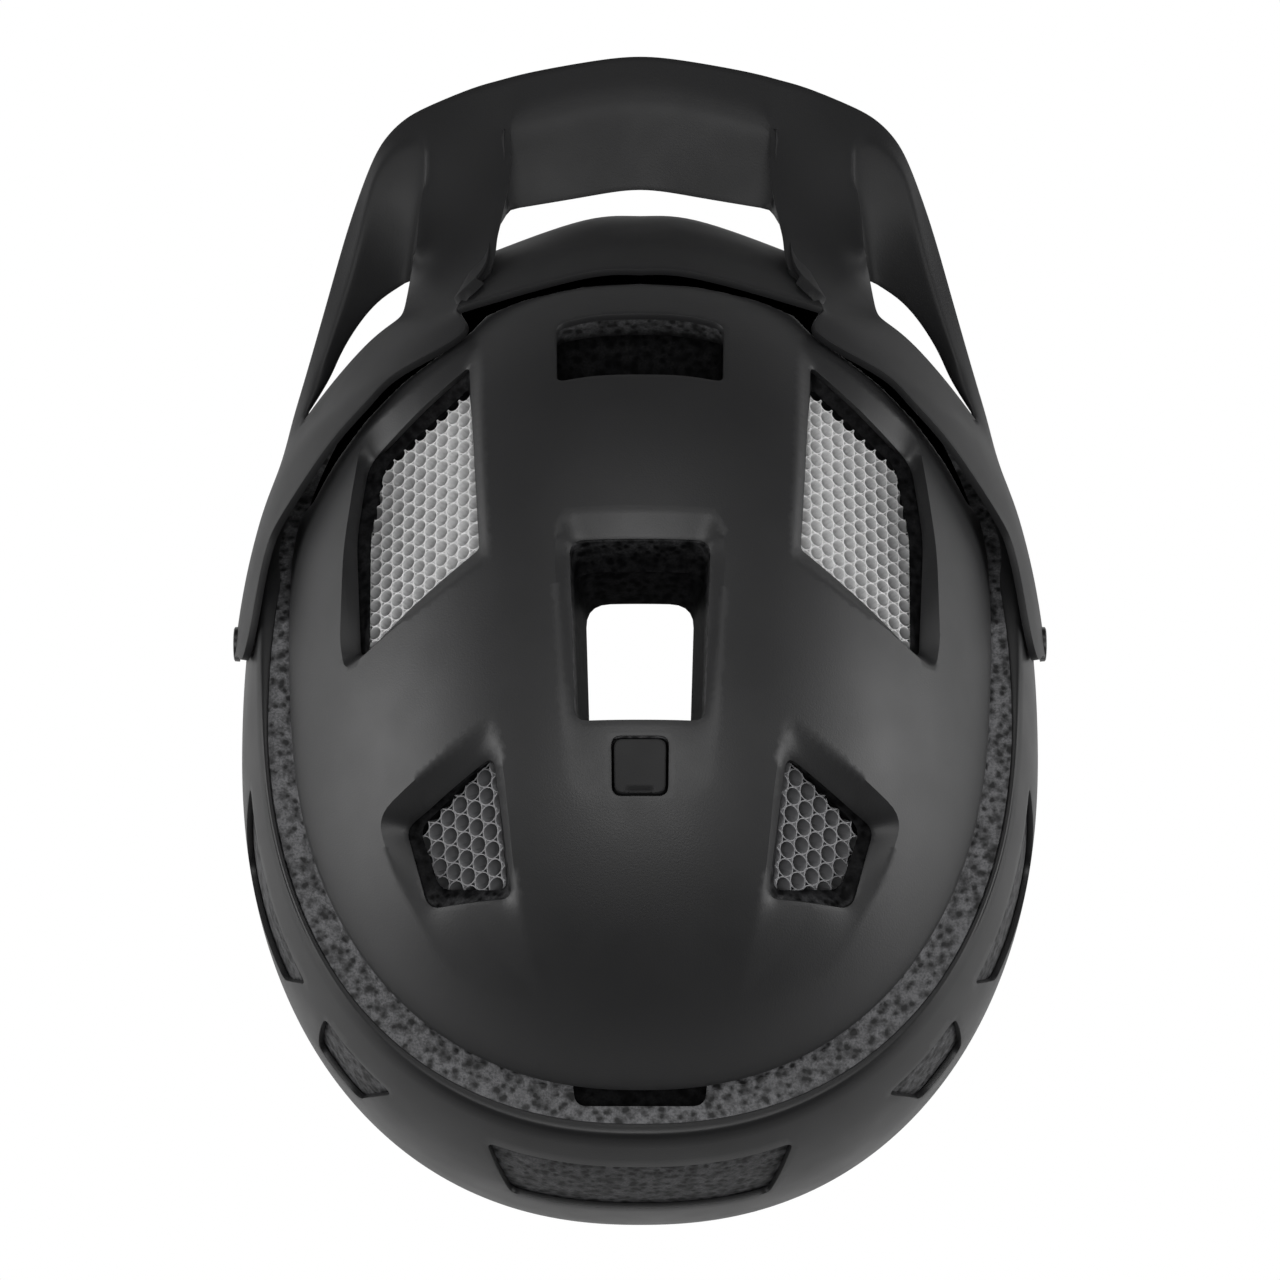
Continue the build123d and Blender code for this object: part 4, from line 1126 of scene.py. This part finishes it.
def strap_frames(path, width_way):
    """The run, width and outward directions at each point of a path."""
    run = np.gradient(path, axis=0)
    run /= np.linalg.norm(run, axis=1)[:, None]
    wide = np.asarray(width_way, float) - (run @ np.asarray(width_way, float))[:, None] * run
    wide /= np.linalg.norm(wide, axis=1)[:, None]
    return run, wide, np.cross(run, wide)


def strap(name, points, body, replaces, side=1, lift=0.0):
    """Sweeps the strap's section along a path; lift moves it off its middle for a doubled layer. Its ends are
    closed by quads across the section, with a triangle at each rounded edge."""
    path, far = smooth_path(points)
    _, wide, out = strap_frames(path, (0, 1, 0))
    across = np.concatenate([ACROSS, ACROSS[-2:0:-1]])
    thick = np.concatenate([THICK, -THICK[-2:0:-1]]) + lift
    rows = path[:, None] + wide[:, None] * across[:, None] + out[:, None] * thick[:, None]
    n, count = len(path), len(across)
    base = np.arange(n * count).reshape(n, count)
    faces = np.concatenate([strip(base[i], base[i + 1]) for i in range(n - 1)])
    half = len(ACROSS) - 1
    k = np.arange(1, half - 1)
    cap = np.stack([k, k + 1, count - k - 1, count - k], 1)
    tip = np.array([[0, 1, count - 1], [half - 1, half, half + 1]])
    quads = np.concatenate([faces, base[0][cap], base[-1][cap]])
    tips = np.concatenate([base[0][tip], base[-1][tip]])
    piece = put(name, rows.reshape(-1, 3) * (side, 1, 1), [quads, tips], strap_weave, body,
                replaces, angle=50, outward=True)
    keep_cloth(piece, np.repeat(far, count), np.tile(across, n))
    return piece


thread = moulded("Waxed thread", "#2b2b2d", 0.6, bump=0.05)


STITCH_SIDE, STITCH_PITCH = 5.6, 3.0


def box_stitch(name, points, start, long, body, side, lift):
    """A box with a cross of stitches: small rounded bars 2.2 mm long on the strap's outer face."""
    path, far = smooth_path(points)
    _, wide, out = strap_frames(path, (0, 1, 0))
    bar = [(-1.1, 0, -0.1), (-0.7, -0.3, 0.08), (-0.7, 0.3, 0.08), (-0.6, 0, 0.26), (0.7, -0.3, 0.08),
           (0.7, 0.3, 0.08), (0.6, 0, 0.26), (1.1, 0, -0.1)]
    bar_faces = np.array([(0, 1, 3), (0, 3, 2), (1, 4, 6), (1, 6, 3), (2, 3, 6), (2, 6, 5), (7, 6, 4),
                          (7, 5, 6), (0, 2, 5), (0, 5, 7), (0, 7, 4), (0, 4, 1)])
    w = STITCH_SIDE
    lines = [((0, -w), (long, -w)), ((0, w), (long, w)), ((0, -w), (0, w)), ((long, -w), (long, w)),
             ((0, -w), (long, w)), ((0, w), (long, -w))]
    bars, faces = [], []
    for a, b in np.array(lines, float):
        count = max(2, int(np.hypot(*(b - a)) / STITCH_PITCH))
        way = (b - a) / np.hypot(*(b - a))
        cross = np.array([-way[1], way[0]])
        for t in (np.arange(count) + 0.5) / count:
            faces.append(bar_faces + len(bars))
            for u, v, h in bar:
                on, beside = a + (b - a) * t + way * u + cross * v
                at, wide_at, out_at = (np.array([np.interp(on + start, far, axis) for axis in row.T])
                                       for row in (path, wide, out))
                bars.append(at + wide_at * beside + out_at * (h + lift))
    put(name, np.array(bars) * (side, 1, 1), faces, thread, body, angle=80, outward=True)


FRONT_RUN = [(88.5, -44.8, -19.5), (82.4, -31, -45), (75, -13.6, -76), (71, -5, -93)]
REAR_RUN = [(90.5, 50.8, -24.5), (83.6, 37, -48), (75.4, 18.6, -76), (71, 9, -93)]
CHIN_RUN = [(71, 2, -106.5), (64.6, -3.6, -126), (54, -11, -148), (44.6, -20, -163.6),
            (33.6, -28.6, -175.6), (22, -32, -180)]
CHIN_END = [*CHIN_RUN[:-1], (15.6, -32, -180)]
for side, where in ((1, "left"), (-1, "right")):
    for end, run in (("front", FRONT_RUN), ("rear", REAR_RUN)):
        strap(f"webbing_{end}_{where}", run, "helmet", [f"strap_{end}_{where}"], side)
    for end, run in (("front", FRONT_RUN), ("rear", REAR_RUN)):
        strap(f"webbing_{end}_fold_{where}", smooth_path(run)[0][2:22], "helmet", [], side, lift=1.36)
    for end, run in (("front", FRONT_RUN), ("rear", REAR_RUN)):
        box_stitch(f"stitches_{end}_{where}", run, 6, 16, "helmet", side, lift=2.05)
strap("webbing_chin_left", CHIN_RUN, "helmet", ["chin_strap_left"])
right = strap("webbing_chin_right", CHIN_END, None, ["chin_strap_right"], -1)
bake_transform(right)

# %% [markdown]
# ## Buckle, dividers and fit system
# The hard parts of the straps and the fit system keep their CAD solids, which have their real shapes, and get
# their finishes here. Buckle and dividers are acetal, which is smooth and a little waxy. The cradle parts are
# nylon, duller and greyer. The dial's grip and the keeper are soft rubber, which has the broadest sheen.

# %% Hard parts
acetal = moulded("Satin acetal", "#1a1a1b", 0.32, bump=0.03)
nylon = moulded("Dull nylon", "#232325", 0.48, bump=0.06)
rubber = moulded("Soft grip rubber", "#1c1c1d", 0.66, grain=0.8, bump=0.1)


def finish(material, *names):
    """Gives CAD nodes their material."""
    for name in names:
        solid = nodes[name].data
        solid.materials.clear()
        solid.materials.append(material)


finish(acetal, "buckle_socket", "buckle_tongue")
finish(nylon, "fit_housing", "fit_cover", "fit_stem", "fit_guide")
finish(rubber, "fit_dial", "strap_keeper")
for where in ("left", "right"):
    finish(acetal, f"strap_divider_{where}", f"divider_latch_{where}")
    finish(nylon, f"headband_{where}", f"rack_{where}", f"temple_anchor_{where}",
           f"strap_anchor_front_{where}", f"strap_anchor_rear_{where}")


PIVOT_Y, PIVOT_Z = -14.0, 25.0


def visor_screw(where, side):
    """The pivot's flat head, turned from a profile of radius and height, with a hexagonal key hole: its
    radius is 1.9 mm over the cosine of the angle to the nearest flat's middle."""
    turn = math.atan2((PIVOT_Y - MID_Y) / VISOR[1], 1) * 0.98
    foot = on_dome(VISOR, np.array([turn]), lambda y: PIVOT_Z + 0 * y)[0]
    around = np.radians(np.arange(0, 360, 7.5))
    hexagon = 1.9 / np.cos(around % (math.pi / 3) - math.pi / 6)
    profile = ((0, -0.9), (hexagon, -0.9), (hexagon, 0.25), (hexagon + 0.2, 0.4), (4.4, 0.3), (4.8, 0.05),
               (4.9, -1.2), (0, -1.2))
    rows = [np.stack([foot[0] + high + 0 * around, PIVOT_Y + radius * np.cos(around),
                      PIVOT_Z + radius * np.sin(around)], 1) for radius, high in profile]
    base = np.arange(len(rows) * len(around)).reshape(len(rows), -1)
    put(f"pivot_screw_{where}", np.concatenate(rows) * (side, 1, 1),
        [strip(a, b) for a, b in zip(base[:-1], base[1:])], acetal, "visor",
        [f"visor_pin_{where}"], angle=40, weld=True, outward=True)


visor_screw("left", 1)
visor_screw("right", -1)

# %% [markdown]
# ## Camera, light and floor
# The camera stands behind the helmet and looks down on it through a long lens. Two large soft boxes stand low
# at the sides, so the matte shell turns pale towards its flanks. A third hangs high behind, and a weak one
# high in front. The background is white only for camera and see-through rays, so it adds no light.

# %% Camera
height_angle, away = math.radians(73), 1.5
aim = np.array([0, -0.0028, 0.0636])
sight = np.array([0, math.cos(height_angle), math.sin(height_angle)])
camera = bpy.data.objects.new("camera", bpy.data.cameras.new("camera"))
bpy.context.scene.collection.objects.link(camera)
eye = sight * away
look = aim - eye
camera.location = eye
camera.rotation_euler = (math.atan2(math.hypot(look[0], look[1]), -look[2]), 0, math.pi)
camera.data.sensor_width, camera.data.lens = 36, 149.2
camera.data.clip_end = 30
bpy.context.scene.camera = camera
print("camera at", np.round(eye, 3), "m")

# %% Light
scene = bpy.context.scene
scene.view_settings.view_transform = "Standard"


def soft_box(name, place, size, power):
    """A rectangular area lamp that faces the helmet, in metres and watts."""
    lamp = bpy.data.objects.new(name, bpy.data.lights.new(name, "AREA"))
    lamp.data.shape, lamp.data.size, lamp.data.size_y, lamp.data.energy = "RECTANGLE", *size, power
    scene.collection.objects.link(lamp)
    lamp.location = place
    way = np.array([0, 0, 0.03]) - place
    lamp.rotation_euler = (math.atan2(math.hypot(way[0], way[1]), -way[2]), 0, math.atan2(-way[0], way[1]))


for side, where in ((1, "left"), (-1, "right")):
    soft_box(f"side_box_{where}", (1.45 * side, 0.05, 0.27), (1.1, 0.75), 13.5)
soft_box("top_box", (0, 0.66, 2.1), (1.0, 0.9), 21)
soft_box("front_box", (0, -1.1, 1.9), (1.4, 0.6), 8)

world = bpy.data.worlds.new("studio")
scene.world = world
world.use_nodes = True
tree = world.node_tree
tree.nodes.clear()
rays = add(tree, "ShaderNodeLightPath")
seen = add(tree, "ShaderNodeMath", {0: rays.outputs["Is Camera Ray"], 1: rays.outputs["Is Transmission Ray"]},
           operation="MAXIMUM")
dim = add(tree, "ShaderNodeBackground", {"Color": (1, 1, 1, 1), "Strength": 0.06})
white = add(tree, "ShaderNodeBackground", {"Color": (1, 1, 1, 1), "Strength": 1.0})
mixed = add(tree, "ShaderNodeMixShader", {0: seen.outputs[0], 1: dim.outputs[0], 2: white.outputs[0]})
add(tree, "ShaderNodeOutputWorld", {"Surface": mixed.outputs[0]})

# %% Floor
paper, tree, surface = new_material("White paper floor", **{"Base Color": linear("#f4f4f4"),
                                                            "Roughness": 0.9})
rays = add(tree, "ShaderNodeLightPath")
shine = add(tree, "ShaderNodeEmission", {"Color": (1, 1, 1, 1), "Strength": 1.0})
both = add(tree, "ShaderNodeMixShader", {0: rays.outputs["Is Camera Ray"], 1: surface.outputs[0],
                                         2: shine.outputs[0]})
tree.links.new(both.outputs[0], tree.nodes["Material Output"].inputs["Surface"])
level = cad_box[0][2] - 0.0005
floor = bpy.data.objects.new("floor", bpy.data.meshes.new("floor"))
floor.data.from_pydata([(x, y, level) for x, y in ((-6, -6), (6, -6), (6, 6), (-6, 6))], [], [(0, 1, 2, 3)])
floor.data.materials.append(paper)
scene.collection.objects.link(floor)

# %% [markdown]
# ## Finish
# The CAD box, taken when the model was loaded, sets the floor's height; at the end the view layer is brought
# up to date.

# %% Finish
bpy.context.view_layer.update()
